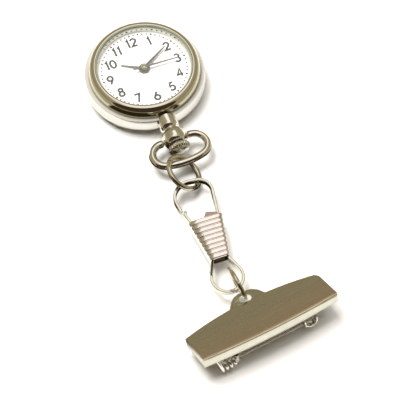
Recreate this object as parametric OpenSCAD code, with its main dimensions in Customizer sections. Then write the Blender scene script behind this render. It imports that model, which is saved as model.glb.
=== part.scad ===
// Nurse's fob watch: a quartz watch head that hangs upside down from a brooch bar.
// Origin: centre of the case back, on the surface that the watch lies on.
// +Z points out of the dial, +Y towards 12 o'clock, and the fob chain is laid out along -Y.

/* [Watch head] */
// Widest diameter of the case
case_d = 28; // [27.5:0.1:28.5]
// Radius of the bezel where it meets the case
bezel_r = 12.9; // [12.8:0.05:13]
// Radius of the opening in the bezel
opening_r = 11.05; // [11:0.01:11.1]
// Height of the bezel's top above the back
head_h = 7.5; // [7.45:0.05:7.6]
// Height of the dial's face above the back
dial_z = 5.65; // [5.6:0.01:5.68]

/* [Hands] */
// Length of the minute hand from the centre
minute_len = 7.6; // [6:0.1:8.4]
// Length of the hour hand from the centre
hour_len = 5.5; // [4:0.1:6]
// Length of the second hand from the centre
second_len = 8.2; // [7:0.1:8.6]
// Angle of the minute hand, clockwise from 12 o'clock
minute_at = 60; // [0:1:359]
// Angle of the hour hand, clockwise from 12 o'clock
hour_at = 301; // [0:1:359]
// Angle of the second hand, clockwise from 12 o'clock
second_at = 93; // [0:1:359]

/* [Pendant and bow] */
// Height of the pendant's axis above the back
pendant_z = 3.15; // [3:0.05:3.3]
// Distance of the bow's pivot from the watch's centre
bow_pivot = 18.7; // [18.6:0.1:18.8]
// Radius of the bow's wire
bow_wire = 0.85; // [0.8:0.01:0.9]

/* [Chain] */
// Radius of the wire of the upper jump ring
upper_wire = 0.57; // [0.5:0.01:0.58]
// Radius of the wire of the lower jump ring
lower_wire = 0.5; // [0.45:0.01:0.52]
// Thickness of the clip's spring strip
strip_t = 0.65; // [0.6:0.01:0.7]
// Width of the clip's spring strip
strip_w = 1.5; // [1.4:0.05:1.55]
// Number of ribs pressed round the clip's sleeve
ribs = 9; // [6:1:10]

/* [Brooch] */
// Depth of the brooch bar's skirt
skirt_h = 2.8; // [2.6:0.1:2.9]
// Thickness of the brooch bar's sheet
sheet_t = 0.5; // [0.45:0.01:0.55]
// Angle at which the brooch bar leans on its fittings
bar_tilt = 20; // [19:0.5:21]

/* [Hidden] */
$fn = 64;

steel = [0.78, 0.77, 0.73];
dark_steel = [0.55, 0.54, 0.5];
brass = [0.8, 0.68, 0.36];
eps = 0.01;

// Case
case_r = case_d / 2;
wide_z = 1.9;
seam_z = 4.8;
back_r = 11.3;
back_t = 0.8;
bore_r = 10.85;
dial_r = 10.9;
dial_t = 0.4;

// Heights of the hands, and the radii of the three arbors at the centre
hour_z = 5.9;
minute_z = 6.2;
second_z = 6.5;
hand_t = 0.12;
arbor_r = 0.25;
cannon_r = 0.55;
pipe_r = 0.9;
running = 0.05;

// Movement: layers of the going train, from the dial side down
plate_z = 3.9;
plate_t = 0.6;
wheel_t = 0.2;
hour_layer = 4.82;
minute_layer = 4.56;
centre_layer = 3.55;
third_layer = 3.15;
second_layer = 2.75;
step_layer = 2.35;
bridge_z = 1.75;
bridge_t = 0.4;
movement_r = 10.2;

// Going train: numbers of teeth and tooth modules
rotor_teeth = 8;
step_teeth = 60;
step_leaves = 8;
second_teeth = 32;
second_leaves = 8;
third_teeth = 60;
third_leaves = 8;
centre_teeth = 64;
cannon_leaves = 12;
minute_teeth = 36;
minute_leaves = 10;
hour_teeth = 40;
step_module = 0.1;
second_module = 0.19;
third_module = 0.1;
minute_module = 0.125;
third_axis = third_module * (second_leaves + third_teeth) / 2;
centre_module = 2 * third_axis / (third_leaves + centre_teeth);
step_axis = second_module * (step_leaves + second_teeth) / 2;
rotor_axis = step_module * (rotor_teeth + step_teeth) / 2;
minute_axis = minute_module * (cannon_leaves + minute_teeth) / 2;
hour_module = 2 * minute_axis / (minute_leaves + hour_teeth);
step_dir = 100;
rotor_dir = 20;
third_dir = 0;
minute_dir = 215;
step_pos = step_axis * [cos(step_dir), sin(step_dir)];
rotor_pos = step_pos + rotor_axis * [cos(rotor_dir), sin(rotor_dir)];
third_pos = third_axis * [cos(third_dir), sin(third_dir)];
minute_pos = minute_axis * [cos(minute_dir), sin(minute_dir)];
pivot_r = 0.12;
post_r = 0.28;
battery_pos = [-6.3, -2.2];
battery_r = 3.4;
battery_h = 2.1;
screw_pos = [[-7.4, 4.6], [8.2, -1.6], [7.6, 4.6]];

// Pendant, measured along -Y from the watch's centre
neck_r = 2.4;
head_r = 2.75;
neck_from = 13.05;
crown_from = 20.15;
crown_r = 2.55;
stem_r = 0.4;
flutes = 22;

// Bow: a wire of arcs, all in the plane of the pendant's axis
lobe_r = 2.9;
lobe_x = 3.5;
bar_y = 24.95;
lobe_y = bow_pivot + lobe_r;
front_r = (pow(lobe_x, 2) + pow(bar_y - lobe_y, 2) - pow(lobe_r, 2)) / (2 * (bar_y - lobe_y - lobe_r));
front_y = bar_y - front_r;
front_half = atan(lobe_x / (lobe_y - front_y));
trunnion_r = 0.42;

// Jump rings: centre, radius of the wire's axis, lean of the ring's axis from +Z and its direction
upper_pos = [-1.45, -27.37, 3.15];
upper_r = 4.1;
upper_lean = 37.5;
upper_dir = -9.5;
lower_pos = [-1.5, -56.95, 3.9];
lower_r = 3.48;
lower_lean = 80;
lower_dir = 4.7;
split = 1.8;

// Clip: the strip's middle is at clip_z, and its bends are arcs round these centres
clip_z = 2.7;
hook_c = [-1.915, -33.74];
hook_r = 4;
hook_from = 80;
hook_to = 184;
crest = 1.49;
shoulder_r = 3;
shoulder_to = -11.8;
free_len = 2.45;
loop_c = [-2.655, -54.35];
loop_r = 3.4;
loop_right = 20.8;
loop_left = 152.7;
neck_len = 3.7;
tail_len = 3.1;
arc_step = 5;

// Gate: it turns on a rivet in the sleeve
gate_pin = [-3.905, -43.8];
gate_pin_r = 0.35;
gate_knuckle_r = 0.75;
gate_path = [gate_pin, [-5.27, -37.25], [-4.95, -36.8], [-4.89, -36]];

// Sleeve: the middles, widths and heights of its two ends
sleeve_top = [-1.775, -40];
sleeve_low = [-2.455, -49.9];
sleeve_top_w = 7.6;
sleeve_low_w = 4.3;
sleeve_top_h = 3.9;
sleeve_low_h = 3.2;
sleeve_wall = 0.3;
sleeve_groove = 0.12;
sleeve_sides = 40;
tongue_t = 0.32;

// Brooch bar: u runs along the bar, v towards its tab, w up from its top face
bar_pos = [0.4, -69.45, 7.2];
bar_yaw = 5.5;
bar_front_u = 15.65;
bar_w = 7;
bar_back_left = -16.27;
bar_back_v = 8.8;
bar_back_r = 63.4;
bar_back_mid = -0.7;
front_bulge = 0.7;
corner_at = [13.4, 5.52];
corner_r = 1.65;
corner_from = 5.9;
corner_to = 76.8;
tab_u = -0.65;
tab_v = 11.5;
tab_root = 4.1;
tab_top = 2.2;
hole_u = -0.8;
hole_v = 9.75;
hole_r = 1.3;
coil_u = -12.1;
coil_v = 0.9;
coil_w = -5.7;
coil_turns = 3;
coil_pitch = 1.0;
coil_r = 1.05;
coil_wire = 0.36;
leg_u = -13.3;
hinge_u = -8.3;
hinge_r = 0.3;
knuckle_r = 0.6;
knuckle_h = 0.9;
ear_t = 0.3;
ear_gap = 0.1;
pin_w = -5.4;
pin_r = 0.3;
pin_end = 10;
taper = 2.5;
catch_u = 9;
catch_half = 1.55;
catch_w = 1.9;
catch_t = 0.35;
catch_low = -6.4;
pad_t = 0.4;

// Case: seat of the bezel, the stem's hole, gasket, glass and the bezel's sloped inner wall
seat_depth = 0.7;
seat_r = 11.5;
seat_in = 10.95;
stem_hole_r = 1.5;
seal_t = 0.15;
rim_wall = 0.4;
notch_w = 3;
notch_h = 0.35;
glass_r = 10.88;
glass_t = 0.54;
glass_edge = 0.12;
glass_gap = 0.01;
wall_low_r = 10.5;
wall_top_r = 10.62;
glass_ledge = 0.7;
bezel_straight = 0.9;
gasket_in = 10.64;
gasket_lip = 10.9;
dial_hole_r = 1.1;
holder_z = 1.9;

// Movement: screws and their pillars, board, can, stator, coil and battery contact
screw_r = 0.46;
screw_hole_r = 0.5;
screw_head_r = 0.9;
screw_head_h = 0.38;
screw_slot = 0.24;
pillar_r = 1.1;
post_h = 0.55;
board_z = 1.4;
board_t = 0.25;
chip_w = 1.6;
can_at = [3.6, -7, 2.95];
can_turn = 20;
can_r = 0.75;
can_len = 4;
can_end_r = 0.6;
stator_z = 2.85;
stator_t = 0.3;
stator_half = 5.6;
stator_y = 4.3;
stator_w = 1.9;
stator_arm = 1.1;
rotor_bore = 0.95;
winding_at = [-4.2, 7.6, 2.99];
winding_r = 0.8;
winding_len = 8.4;
core_at = [-5.5, 7.25, 3.17];
battery_z = 1.5;
battery_rim = 0.45;
contact_z = 1.28;
contact_w = 1.2;
contact_t = 0.2;
magnet_r = 0.75;
magnet_h = 0.7;

// Pendant and crown: hole for the stem, turned profiles as radius and height, flutes
sleeve_tube_r = 1.15;
sleeve_tube_from = 10.9;
trunnion_hole = 3.4;
pendant_profile = [[neck_r, 15.3], [neck_r - 0.3, 15.75], [1.75, 15.85], [1.75, 16.5], [2.2, 16.6],
    [2.6, 17.0], [head_r, 17.7], [head_r, 19.1], [2.5, 19.7], [2.1, 19.95], [0, 19.95]];
crown_profile = [[0, 0.2], [1.9, 0.2], [crown_r - 0.1, 0.6], [crown_r, 1], [crown_r - 0.1, 1.35],
    [2.1, 1.65], [1.6, 1.88], [0.9, 2.01], [0, 2.05]];
flute_r = 0.24;
flute_out = 0.08;
stem_from = 5;

// Clip and brooch: the tongue's outline, the bracket's pad and wall, the pin's slot in the catch
squareness = 0.62;
tongue_outline = [[-2, -39.85], [-1.15, -38.7], [-0.9, -38.55], [1.15, -39.35], [1.35, -39.6],
    [1.3, -40.4], [0.8, -42.5], [-2.8, -42.5]];
pad_len = 6.6;
pad_wide = 3.4;
web_w = 1.6;
web_t = 0.35;
catch_pad = 6;
slot_h = 0.9;
pin_point_r = 0.08;

// A full ring of wire or a part of one, from angle a0 over sweep degrees
module wire_arc(radius, wire, a0, sweep) {
    rotate([0, 0, a0]) rotate_extrude(angle = sweep) translate([radius, 0]) circle(wire);
}

// Points of an arc round c, from angle a0 to a1
function arc_points(c, radius, a0, a1) =
    let (n = ceil(abs(a1 - a0) / arc_step))
    [for (i = [0:n]) let (a = a0 + (a1 - a0) * i / n) c + radius * [cos(a), sin(a)]];

// Points beside a path, at distance g to its left
function beside(path, g) =
    [for (i = [0:len(path) - 1])
        let (a = path[max(i, 1) - 1], b = path[max(i, 1)],
            c = path[min(i + 1, len(path) - 1) - 1], d = path[min(i + 1, len(path) - 1)],
            m = (b - a) / norm(b - a), n = (d - c) / norm(d - c), k = 1 + m * n)
        path[i] + g / k * [-m.y - n.y, m.x + n.x]];

// The clip's strip bent along a path
module strip(path) {
    near = beside(path, strip_t / 2);
    far = beside(path, -strip_t / 2);
    translate([0, 0, clip_z - strip_w / 2]) linear_extrude(strip_w)
        polygon(concat(near, [for (i = [len(far) - 1:-1:0]) far[i]]));
}

// Outline of a toothed wheel with a tooth centred on angle phase
function tooth_points(teeth, tooth_module, phase) = [
    for (i = [0:teeth - 1], s = [[-0.3, -1.15], [-0.12, 0.8], [0.12, 0.8], [0.3, -1.15]])
        let (a = phase + 360 / teeth * (i + s[0]), r = tooth_module * (teeth / 2 + s[1]))
        r * [cos(a), sin(a)]
];

module gear(teeth, tooth_module, phase, z) {
    translate([0, 0, z]) linear_extrude(wheel_t) polygon(tooth_points(teeth, tooth_module, phase));
}

// Phase of a wheel so that a gap of it faces a tooth that points along direction dir
function gap_phase(teeth, dir) = dir + 180 + 180 / teeth;

// An arbor with a thin pivot at each end
module arbor(r, z0, z1) {
    translate([0, 0, z0]) cylinder(r = r, h = z1 - z0);
    translate([0, 0, bridge_z + 0.05]) cylinder(r = pivot_r, h = plate_z + 0.35 - bridge_z);
}

// A tapered hand along +Y with a tail, lying at height z
module hand(len, tail, width, tip, hub, z) {
    translate([0, 0, z]) {
        linear_extrude(hand_t) polygon([[-width / 2, 0], [-tip / 2, len], [tip / 2, len], [width / 2, 0],
            [width * 0.4, -tail], [-width * 0.4, -tail]]);
        cylinder(r = hub, h = hand_t);
    }
}

// Puts a shape that is drawn along +Z onto the pendant's axis, pointing along -Y
module on_pendant() {
    translate([0, 0, pendant_z]) rotate([90, 0, 0]) children();
}

// Puts a shape that is drawn in the brooch bar's own u, v, w onto the bar
module on_bar() {
    translate(bar_pos) rotate([-bar_tilt, 0, bar_yaw]) children();
}

// Half-section of the case body's outside, filled to the watch's axis
module case_section() {
    translate([case_r - wide_z + 0.1, wide_z]) circle(wide_z - 0.1);
    polygon([[0, 0.1], [case_r - wide_z + 0.1, 0.1], [case_r, wide_z], [case_r - 0.12, wide_z + 0.9],
        [case_r - 0.45, wide_z + 1.7], [bezel_r + 0.1, seam_z - 0.12], [bezel_r, seam_z], [0, seam_z]]);
}

module case_body() {
    color(steel) difference() {
        rotate_extrude() difference() {
            case_section();
            square([back_r + 0.08, back_t + seal_t]);
            translate([0, -1]) square([bore_r, seam_z + 2]);
            translate([0, seam_z - seat_depth]) square([seat_r, 1]);
        }
        on_pendant() translate([0, 0, 9]) cylinder(r = 1.2, h = 6);
    }
}

module case_back() {
    color(dark_steel) difference() {
        union() {
            rotate_extrude()
                polygon([[0, 0], [back_r - 0.4, 0], [back_r, 0.3], [back_r, back_t], [0, back_t]]);
            translate([0, 0, back_t]) difference() {
                cylinder(r = bore_r - 0.05, h = 1);
                translate([0, 0, -1]) cylinder(r = bore_r - 0.05 - rim_wall, h = 3);
            }
        }
        translate([-notch_w / 2, back_r - 0.5, -0.1]) cube([notch_w, 1, notch_h]);
        translate([0, -bore_r, pendant_z]) rotate([90, 0, 0]) cylinder(r = stem_hole_r, h = 3, center = true);
    }
}

module back_gasket() {
    color("dimgray") translate([0, 0, back_t]) difference() {
        cylinder(r = back_r, h = seal_t);
        translate([0, 0, -1]) cylinder(r = bore_r, h = 3);
    }
}

module bezel() {
    rounding = head_h - seam_z - bezel_straight;
    color(steel) rotate_extrude() difference() {
        union() {
            translate([seat_in, seam_z - seat_depth]) square([seat_r - seat_in, seat_depth + 0.1]);
            polygon([[wall_low_r, dial_z + 0.02], [seat_in, dial_z + 0.02], [seat_in, seam_z],
                [bezel_r, seam_z],
                [bezel_r, head_h - rounding], [bezel_r - rounding, head_h - rounding],
                [bezel_r - rounding, head_h], [opening_r, head_h - 0.05], [opening_r, head_h - glass_ledge],
                [wall_top_r, head_h - glass_ledge]]);
            intersection() {
                translate([bezel_r - rounding, head_h - rounding]) circle(rounding);
                translate([bezel_r - rounding, head_h - rounding]) square(rounding);
            }
        }
        translate([10, head_h]) square([4, 1]);
    }
}

module crystal() {
    color([0.9, 0.95, 0.95, 0.3]) translate([0, 0, head_h - glass_t - glass_gap]) rotate_extrude()
        polygon([[0, 0], [glass_r, 0], [glass_r, glass_t - glass_edge], [glass_r - glass_edge, glass_t],
            [0, glass_t]]);
}

module crystal_gasket() {
    color("whitesmoke") rotate_extrude()
        polygon([[gasket_in, head_h - 0.69], [opening_r - 0.02, head_h - 0.69],
            [opening_r - 0.02, head_h - 0.06], [gasket_lip, head_h - 0.06], [gasket_lip, head_h - 0.56],
            [gasket_in, head_h - 0.56]]);
}

module dial() {
    color("white") translate([0, 0, dial_z - dial_t]) difference() {
        cylinder(r = dial_r, h = dial_t);
        translate([0, 0, -1]) cylinder(r = dial_hole_r, h = 3);
    }
}

module movement_holder() {
    color("ivory") difference() {
        translate([0, 0, holder_z]) cylinder(r = bore_r - 0.1, h = dial_z - dial_t - holder_z - 0.02);
        translate([0, 0, 1]) cylinder(r = movement_r + 0.05, h = 6);
        translate([0, -bore_r, pendant_z]) rotate([90, 0, 0]) cylinder(r = stem_hole_r, h = 3, center = true);
    }
}

module main_plate() {
    color(brass) difference() {
        translate([0, 0, plate_z]) cylinder(r = movement_r, h = plate_t);
        translate([0, 0, plate_z - 1]) cylinder(r = cannon_r + running, h = 3);
        for (p = [step_pos, rotor_pos, third_pos])
            translate([p.x, p.y, plate_z - 1]) cylinder(r = pivot_r + running, h = 1.5);
        for (p = screw_pos) translate([p.x, p.y, plate_z - 1]) cylinder(r = screw_hole_r, h = 3);
    }
    color(brass) translate([minute_pos.x, minute_pos.y, plate_z + plate_t])
        cylinder(r = post_r, h = post_h);
}

module train_bridge() {
    color(brass) difference() {
        union() {
            translate([0, 0, bridge_z]) linear_extrude(bridge_t) difference() {
                circle(movement_r);
                translate(battery_pos) circle(battery_r + 0.5);
                translate([-movement_r - 1, -movement_r - 1]) square([movement_r - 0.8, movement_r + 2.9]);
                translate([-movement_r - 1, -movement_r - 1]) square([2 * movement_r + 2, 5.4]);
            }
            for (p = screw_pos)
                translate([p.x, p.y, bridge_z]) cylinder(r = pillar_r, h = plate_z - bridge_z);
        }
        translate([0, 0, bridge_z - 1]) cylinder(r = arbor_r + running, h = 3);
        for (p = [step_pos, rotor_pos, third_pos])
            translate([p.x, p.y, bridge_z - 1]) cylinder(r = pivot_r + running, h = 3);
        for (p = screw_pos) translate([p.x, p.y, bridge_z - 1]) cylinder(r = screw_hole_r, h = 5);
    }
}

module bridge_screws() {
    color(steel) for (p = screw_pos) translate([p.x, p.y, 0]) difference() {
        union() {
            translate([0, 0, bridge_z - 0.4]) cylinder(r = screw_head_r, h = screw_head_h);
            translate([0, 0, bridge_z - 0.1]) cylinder(r = screw_r, h = plate_z + 0.4 - bridge_z);
        }
        translate([-1, -screw_slot / 2, bridge_z - 0.5]) cube([2, screw_slot, 0.25]);
    }
}

module circuit_board() {
    color("darkgreen") translate([0, 0, board_z]) linear_extrude(board_t) difference() {
        circle(movement_r - 0.4);
        translate(battery_pos) circle(battery_r + 0.6);
        translate([-12, -12]) square([16, 24]);
        for (p = screw_pos) translate(p) circle(pillar_r);
    }
    color("black") translate([5.6, -1.2, board_z - 0.3]) cube([chip_w, chip_w, 0.3]);
}

module quartz_can() {
    color("silver") translate(can_at) rotate([0, 90, can_turn]) {
        cylinder(r = can_r, h = can_len);
        translate([0, 0, -0.2]) cylinder(r = can_end_r, h = 0.3);
    }
}

module stator() {
    color("gray") translate([0, 0, stator_z]) linear_extrude(stator_t) difference() {
        union() {
            translate([-stator_half, stator_y]) square([2 * stator_half, stator_w]);
            for (s = [-1, 1]) translate([s * 5.15 - stator_arm / 2, stator_y]) square([stator_arm, 4]);
        }
        translate(rotor_pos) circle(rotor_bore);
        translate(step_pos) circle(stator_arm);
    }
}

module drive_coil() {
    color("chocolate") translate(winding_at) rotate([0, 90, 0]) cylinder(r = winding_r, h = winding_len);
    color("gray") translate(core_at) cube([11, 0.7, 0.3]);
}

module battery() {
    color("silver") translate([battery_pos.x, battery_pos.y, battery_z]) rotate_extrude()
        polygon([[0, 0], [battery_r - 0.15, 0], [battery_r, 0.15], [battery_r, battery_h - 0.5],
            [battery_r - battery_rim, battery_h - 0.3], [battery_r - battery_rim, battery_h],
            [0, battery_h]]);
}

module battery_clip() {
    color(brass) translate([battery_pos.x, battery_pos.y, 0]) {
        translate([-contact_w / 2, -battery_r - 0.25, contact_z])
            cube([contact_w, 2 * battery_r + 0.5, contact_t]);
        for (s = [-1, 1]) translate([-contact_w / 2, s * (battery_r + 0.15) - contact_t / 2, contact_z])
            cube([contact_w, contact_t, 2.4]);
    }
}

module rotor() {
    color("gray") translate([rotor_pos.x, rotor_pos.y, 0]) {
        gear(rotor_teeth, step_module, gap_phase(rotor_teeth, rotor_dir), step_layer);
        arbor(0.22, step_layer, 3.6);
        translate([0, 0, 2.65]) cylinder(r = magnet_r, h = magnet_h);
    }
}

module step_wheel() {
    color(brass) translate([step_pos.x, step_pos.y, 0]) {
        gear(step_teeth, step_module, rotor_dir, step_layer);
        gear(step_leaves, second_module, gap_phase(step_leaves, step_dir), second_layer);
        arbor(0.3, step_layer, 3.5);
    }
}

module second_arbor() {
    color(brass) {
        gear(second_teeth, second_module, step_dir, second_layer);
        gear(second_leaves, third_module, third_dir, third_layer);
        translate([0, 0, bridge_z + 0.1]) cylinder(r = arbor_r, h = second_z - bridge_z - 0.1);
    }
}

module second_hand() {
    color("gray") rotate([0, 0, -second_at]) {
        hand(second_len, 2.6, 0.3, 0.12, 0.7, second_z);
        translate([0, 0, second_z + hand_t - eps]) rotate_extrude()
            polygon([[0, 0], [0.55, 0], [0.5, 0.12], [0.3, 0.2], [0, 0.22]]);
    }
}

module third_wheel() {
    color(brass) translate([third_pos.x, third_pos.y, 0]) {
        gear(third_teeth, third_module, gap_phase(third_teeth, third_dir), third_layer);
        gear(third_leaves, centre_module, gap_phase(third_leaves, third_dir), centre_layer);
        arbor(0.25, third_layer - 0.15, plate_z - 0.05);
    }
}

module centre_wheel() {
    color(brass) difference() {
        union() {
            gear(centre_teeth, centre_module, third_dir, centre_layer);
            gear(cannon_leaves, minute_module, minute_dir, minute_layer);
            translate([0, 0, centre_layer]) cylinder(r = cannon_r, h = minute_z - centre_layer);
        }
        translate([0, 0, 3]) cylinder(r = arbor_r + running, h = 4);
    }
}

module minute_hand() {
    color("gray") rotate([0, 0, -minute_at]) difference() {
        hand(minute_len, 1.2, 0.62, 0.22, 0.85, minute_z);
        translate([0, 0, minute_z - 1]) cylinder(r = arbor_r + running, h = 3);
    }
}

module minute_wheel() {
    color(brass) translate([minute_pos.x, minute_pos.y, 0]) difference() {
        union() {
            gear(minute_teeth, minute_module, gap_phase(minute_teeth, minute_dir), minute_layer);
            gear(minute_leaves, hour_module, gap_phase(minute_leaves, minute_dir), hour_layer);
            translate([0, 0, minute_layer + 0.05]) cylinder(r = 0.44, h = hour_layer - minute_layer);
        }
        translate([0, 0, minute_layer - 1]) cylinder(r = post_r + running, h = 3);
    }
}

module hour_wheel() {
    color(brass) difference() {
        union() {
            gear(hour_teeth, hour_module, minute_dir, hour_layer);
            translate([0, 0, hour_layer]) cylinder(r = pipe_r, h = hour_z - hour_layer);
        }
        translate([0, 0, hour_layer - 1]) cylinder(r = cannon_r + running, h = 4);
    }
}

module hour_hand() {
    color("gray") rotate([0, 0, -hour_at]) difference() {
        hand(hour_len, 1.1, 0.75, 0.28, 1.1, hour_z);
        translate([0, 0, hour_z - 1]) cylinder(r = cannon_r + running, h = 3);
    }
}

module winding_stem() {
    color(steel) on_pendant() {
        translate([0, 0, stem_from]) cylinder(r = stem_r, h = crown_from + 1.2 - stem_from);
        translate([0, 0, stem_from + 0.2]) cylinder(r = 0.7, h = 1.2);
    }
}

module crown() {
    color(steel) on_pendant() translate([0, 0, crown_from]) difference() {
        rotate_extrude() difference() {
            union() {
                square([1.7, 0.5]);
                polygon(crown_profile);
            }
            translate([-1, -1]) square([1, 6]);
        }
        for (i = [0:flutes - 1]) rotate([0, 0, 360 / flutes * i])
            translate([crown_r + flute_out, 0, -1]) cylinder(r = flute_r, h = 6, $fn = 16);
        translate([0, 0, -1]) cylinder(r = stem_r + running, h = 2.25);
    }
}

module pendant() {
    color(steel) difference() {
        on_pendant() rotate_extrude()
            polygon(concat([[0, neck_from], [neck_r, neck_from]], pendant_profile));
        on_pendant() translate([0, 0, 10]) cylinder(r = stem_r + running, h = 12);
        for (x = [-1.6 - trunnion_hole, 1.6]) translate([x, -bow_pivot, pendant_z]) rotate([0, 90, 0])
            cylinder(r = trunnion_r + running, h = trunnion_hole);
        cylinder(r = bezel_r + 0.15, h = 12);
        rotate_extrude() case_section();
    }
    color(steel) on_pendant() difference() {
        translate([0, 0, sleeve_tube_from]) cylinder(r = sleeve_tube_r, h = 3.3);
        translate([0, 0, 10]) cylinder(r = stem_r + running, h = 12);
    }
}

// The arcs of the bow run into each other by lap degrees
module bow() {
    lap = 1.5;
    inner = bow_wire - 0.004;
    color(steel) translate([0, 0, pendant_z]) {
        translate([0, -front_y, 0]) wire_arc(front_r, bow_wire, 270 - front_half, 2 * front_half);
        for (side = [-1, 1]) {
            translate([side * lobe_x, -lobe_y, 0]) wire_arc(lobe_r, inner,
                side > 0 ? front_half - 90 - lap : 90 - lap, 180 - front_half + 2 * lap);
            translate([side > 0 ? 1.75 : -3.1, -bow_pivot, 0]) rotate([0, 90, 0])
                cylinder(r = trunnion_r, h = 1.35);
            translate([side > 0 ? 3 : -lobe_x - 0.05, -bow_pivot, 0]) rotate([0, 90, 0])
                cylinder(r = bow_wire, h = lobe_x - 2.95);
        }
    }
}

module upper_jump_ring() {
    color(steel) translate(upper_pos) rotate([0, upper_lean, upper_dir])
        wire_arc(upper_r, upper_wire, 150, 360 - split);
}

module clip_strip() {
    hook_dir = [sin(hook_to), -cos(hook_to)];
    crest_dir = [sin(hook_from), -cos(hook_from)];
    hook = arc_points(hook_c, hook_r, hook_to, hook_from);
    shoulder_c = hook_c + (hook_r - shoulder_r) * [cos(hook_from), sin(hook_from)] + crest * crest_dir;
    shoulder = arc_points(shoulder_c, shoulder_r, hook_from, shoulder_to);
    loop = arc_points(loop_c, loop_r, loop_right, loop_left - 360);
    leg_low = loop[0] + neck_len * [-sin(loop_right), cos(loop_right)];
    tail_low = loop[len(loop) - 1] + neck_len * [sin(loop_left), -cos(loop_left)];
    color(steel) strip(concat([hook[0] - free_len * hook_dir], hook, shoulder, [leg_low], loop,
        [tail_low, tail_low + [-0.05, tail_len]]));
}

// Draws a circle's sine or cosine out towards a rounded rectangle
function squared(t) = sign(t) * pow(abs(t), squareness);

// Ring of points round the sleeve at a share s of its length, grown by g on every side
function sleeve_ring(s, g) =
    let (p = sleeve_top + (sleeve_low - sleeve_top) * s,
        d = (sleeve_low - sleeve_top) / norm(sleeve_low - sleeve_top),
        w = (sleeve_top_w + (sleeve_low_w - sleeve_top_w) * s) / 2 + g,
        h = (sleeve_top_h + (sleeve_low_h - sleeve_top_h) * s) / 2 + g)
    [for (i = [0:sleeve_sides - 1])
        let (a = 360 / sleeve_sides * i, x = w * squared(cos(a)), z = h * squared(sin(a)))
        [p.x - d.y * x, p.y + d.x * x, clip_z + z]];

module clip_sleeve() {
    steps = [for (i = [0:ribs - 1], q = [[0, -sleeve_groove], [0.14, 0], [0.86, 0], [1, -sleeve_groove]])
        if (i == 0 || q[0] > 0) [(i + q[0]) / ribs, q[1]]];
    bore = -sleeve_wall - sleeve_groove;
    rings = concat([for (q = steps) sleeve_ring(q[0], q[1])], [sleeve_ring(1, bore), sleeve_ring(0, bore)]);
    faces = [for (i = [0:len(rings) - 1], k = [0:sleeve_sides - 1])
        let (n = (k + 1) % sleeve_sides, j = (i + 1) % len(rings))
        [i * sleeve_sides + k, i * sleeve_sides + n, j * sleeve_sides + n, j * sleeve_sides + k]];
    color(steel) difference() {
        polyhedron([for (r = rings, p = r) p], faces);
        translate([gate_pin.x, gate_pin.y, -2]) cylinder(r = gate_pin_r, h = 9);
    }
}

// Flat tongue that lies on the strip inside the sleeve and shows at its upper end
module clip_tongue() {
    color(dark_steel) translate([0, 0, clip_z + strip_w / 2 + 0.05]) linear_extrude(tongue_t)
        polygon(tongue_outline);
}

module clip_gate() {
    color(steel) difference() {
        union() {
            translate([gate_pin.x, gate_pin.y, clip_z])
                cylinder(r = gate_knuckle_r, h = strip_w, center = true);
            strip(gate_path);
        }
        translate([gate_pin.x, gate_pin.y, -2]) cylinder(r = gate_pin_r + running, h = 9);
    }
}

module gate_rivet() {
    color(steel) translate([gate_pin.x, gate_pin.y, clip_z])
        cylinder(r = gate_pin_r, h = sleeve_top_h - 0.2, center = true);
}

module lower_jump_ring() {
    color(steel) translate(lower_pos) rotate([0, lower_lean, lower_dir])
        wire_arc(lower_r, lower_wire, 200, 360 - split);
}

// Outline of the bar's top, drawn in by g on every side
function bar_outline(g) =
    let (front_r = (pow(bar_front_u, 2) + pow(front_bulge, 2)) / (2 * front_bulge),
        front_a = asin((bar_front_u - g) / front_r),
        back_a = asin((bar_back_mid - bar_back_left - g) / bar_back_r))
    concat(arc_points([0, front_r - front_bulge + g], front_r, 270 - front_a, 270 + front_a),
        arc_points(corner_at, corner_r - g, corner_from, corner_to),
        arc_points([bar_back_mid, bar_back_v - bar_back_r], bar_back_r - g, corner_to, 90 + back_a));

module brooch_bar() {
    color(dark_steel) on_bar() difference() {
        union() {
            translate([0, 0, -skirt_h]) linear_extrude(skirt_h) polygon(bar_outline(0));
            translate([0, 0, -sheet_t]) linear_extrude(sheet_t)
                polygon([[tab_u - tab_root - 0.3, bar_w], [tab_u - tab_root - 0.3, 8.9],
                    [tab_u - tab_top - 1, tab_v - 1.2], [tab_u - tab_top, tab_v - 0.35],
                    [tab_u - tab_top + 0.9, tab_v], [tab_u + tab_top - 0.9, tab_v],
                    [tab_u + tab_top, tab_v - 0.35],
                    [tab_u + tab_top + 1, tab_v - 1.2], [tab_u + tab_root, 8.7], [tab_u + tab_root, bar_w]]);
        }
        translate([0, 0, -skirt_h - 1]) linear_extrude(skirt_h + 1 - sheet_t) polygon(bar_outline(sheet_t));
        translate([hole_u, hole_v, -3]) cylinder(r = hole_r, h = 6);
    }
}

// Pad under the bar with a wall that holds the two ears of the pin's hinge
module pin_bracket() {
    low = pin_w - knuckle_h / 2 - ear_gap - ear_t;
    color(steel) on_bar() difference() {
        union() {
            translate([leg_u - 0.4, 0.4, -sheet_t - pad_t]) cube([pad_len, pad_wide, pad_t]);
            translate([hinge_u - web_w / 2, coil_v + 0.9, low]) cube([web_w, web_t, -sheet_t - low]);
            for (w = [low, pin_w + knuckle_h / 2 + ear_gap]) translate([hinge_u, coil_v, w]) {
                cylinder(r = knuckle_r, h = ear_t);
                translate([-knuckle_r, 0, 0]) cube([2 * knuckle_r, 1, ear_t]);
            }
        }
        translate([hinge_u, coil_v, low - 1]) cylinder(r = hinge_r, h = 4);
    }
}

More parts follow.
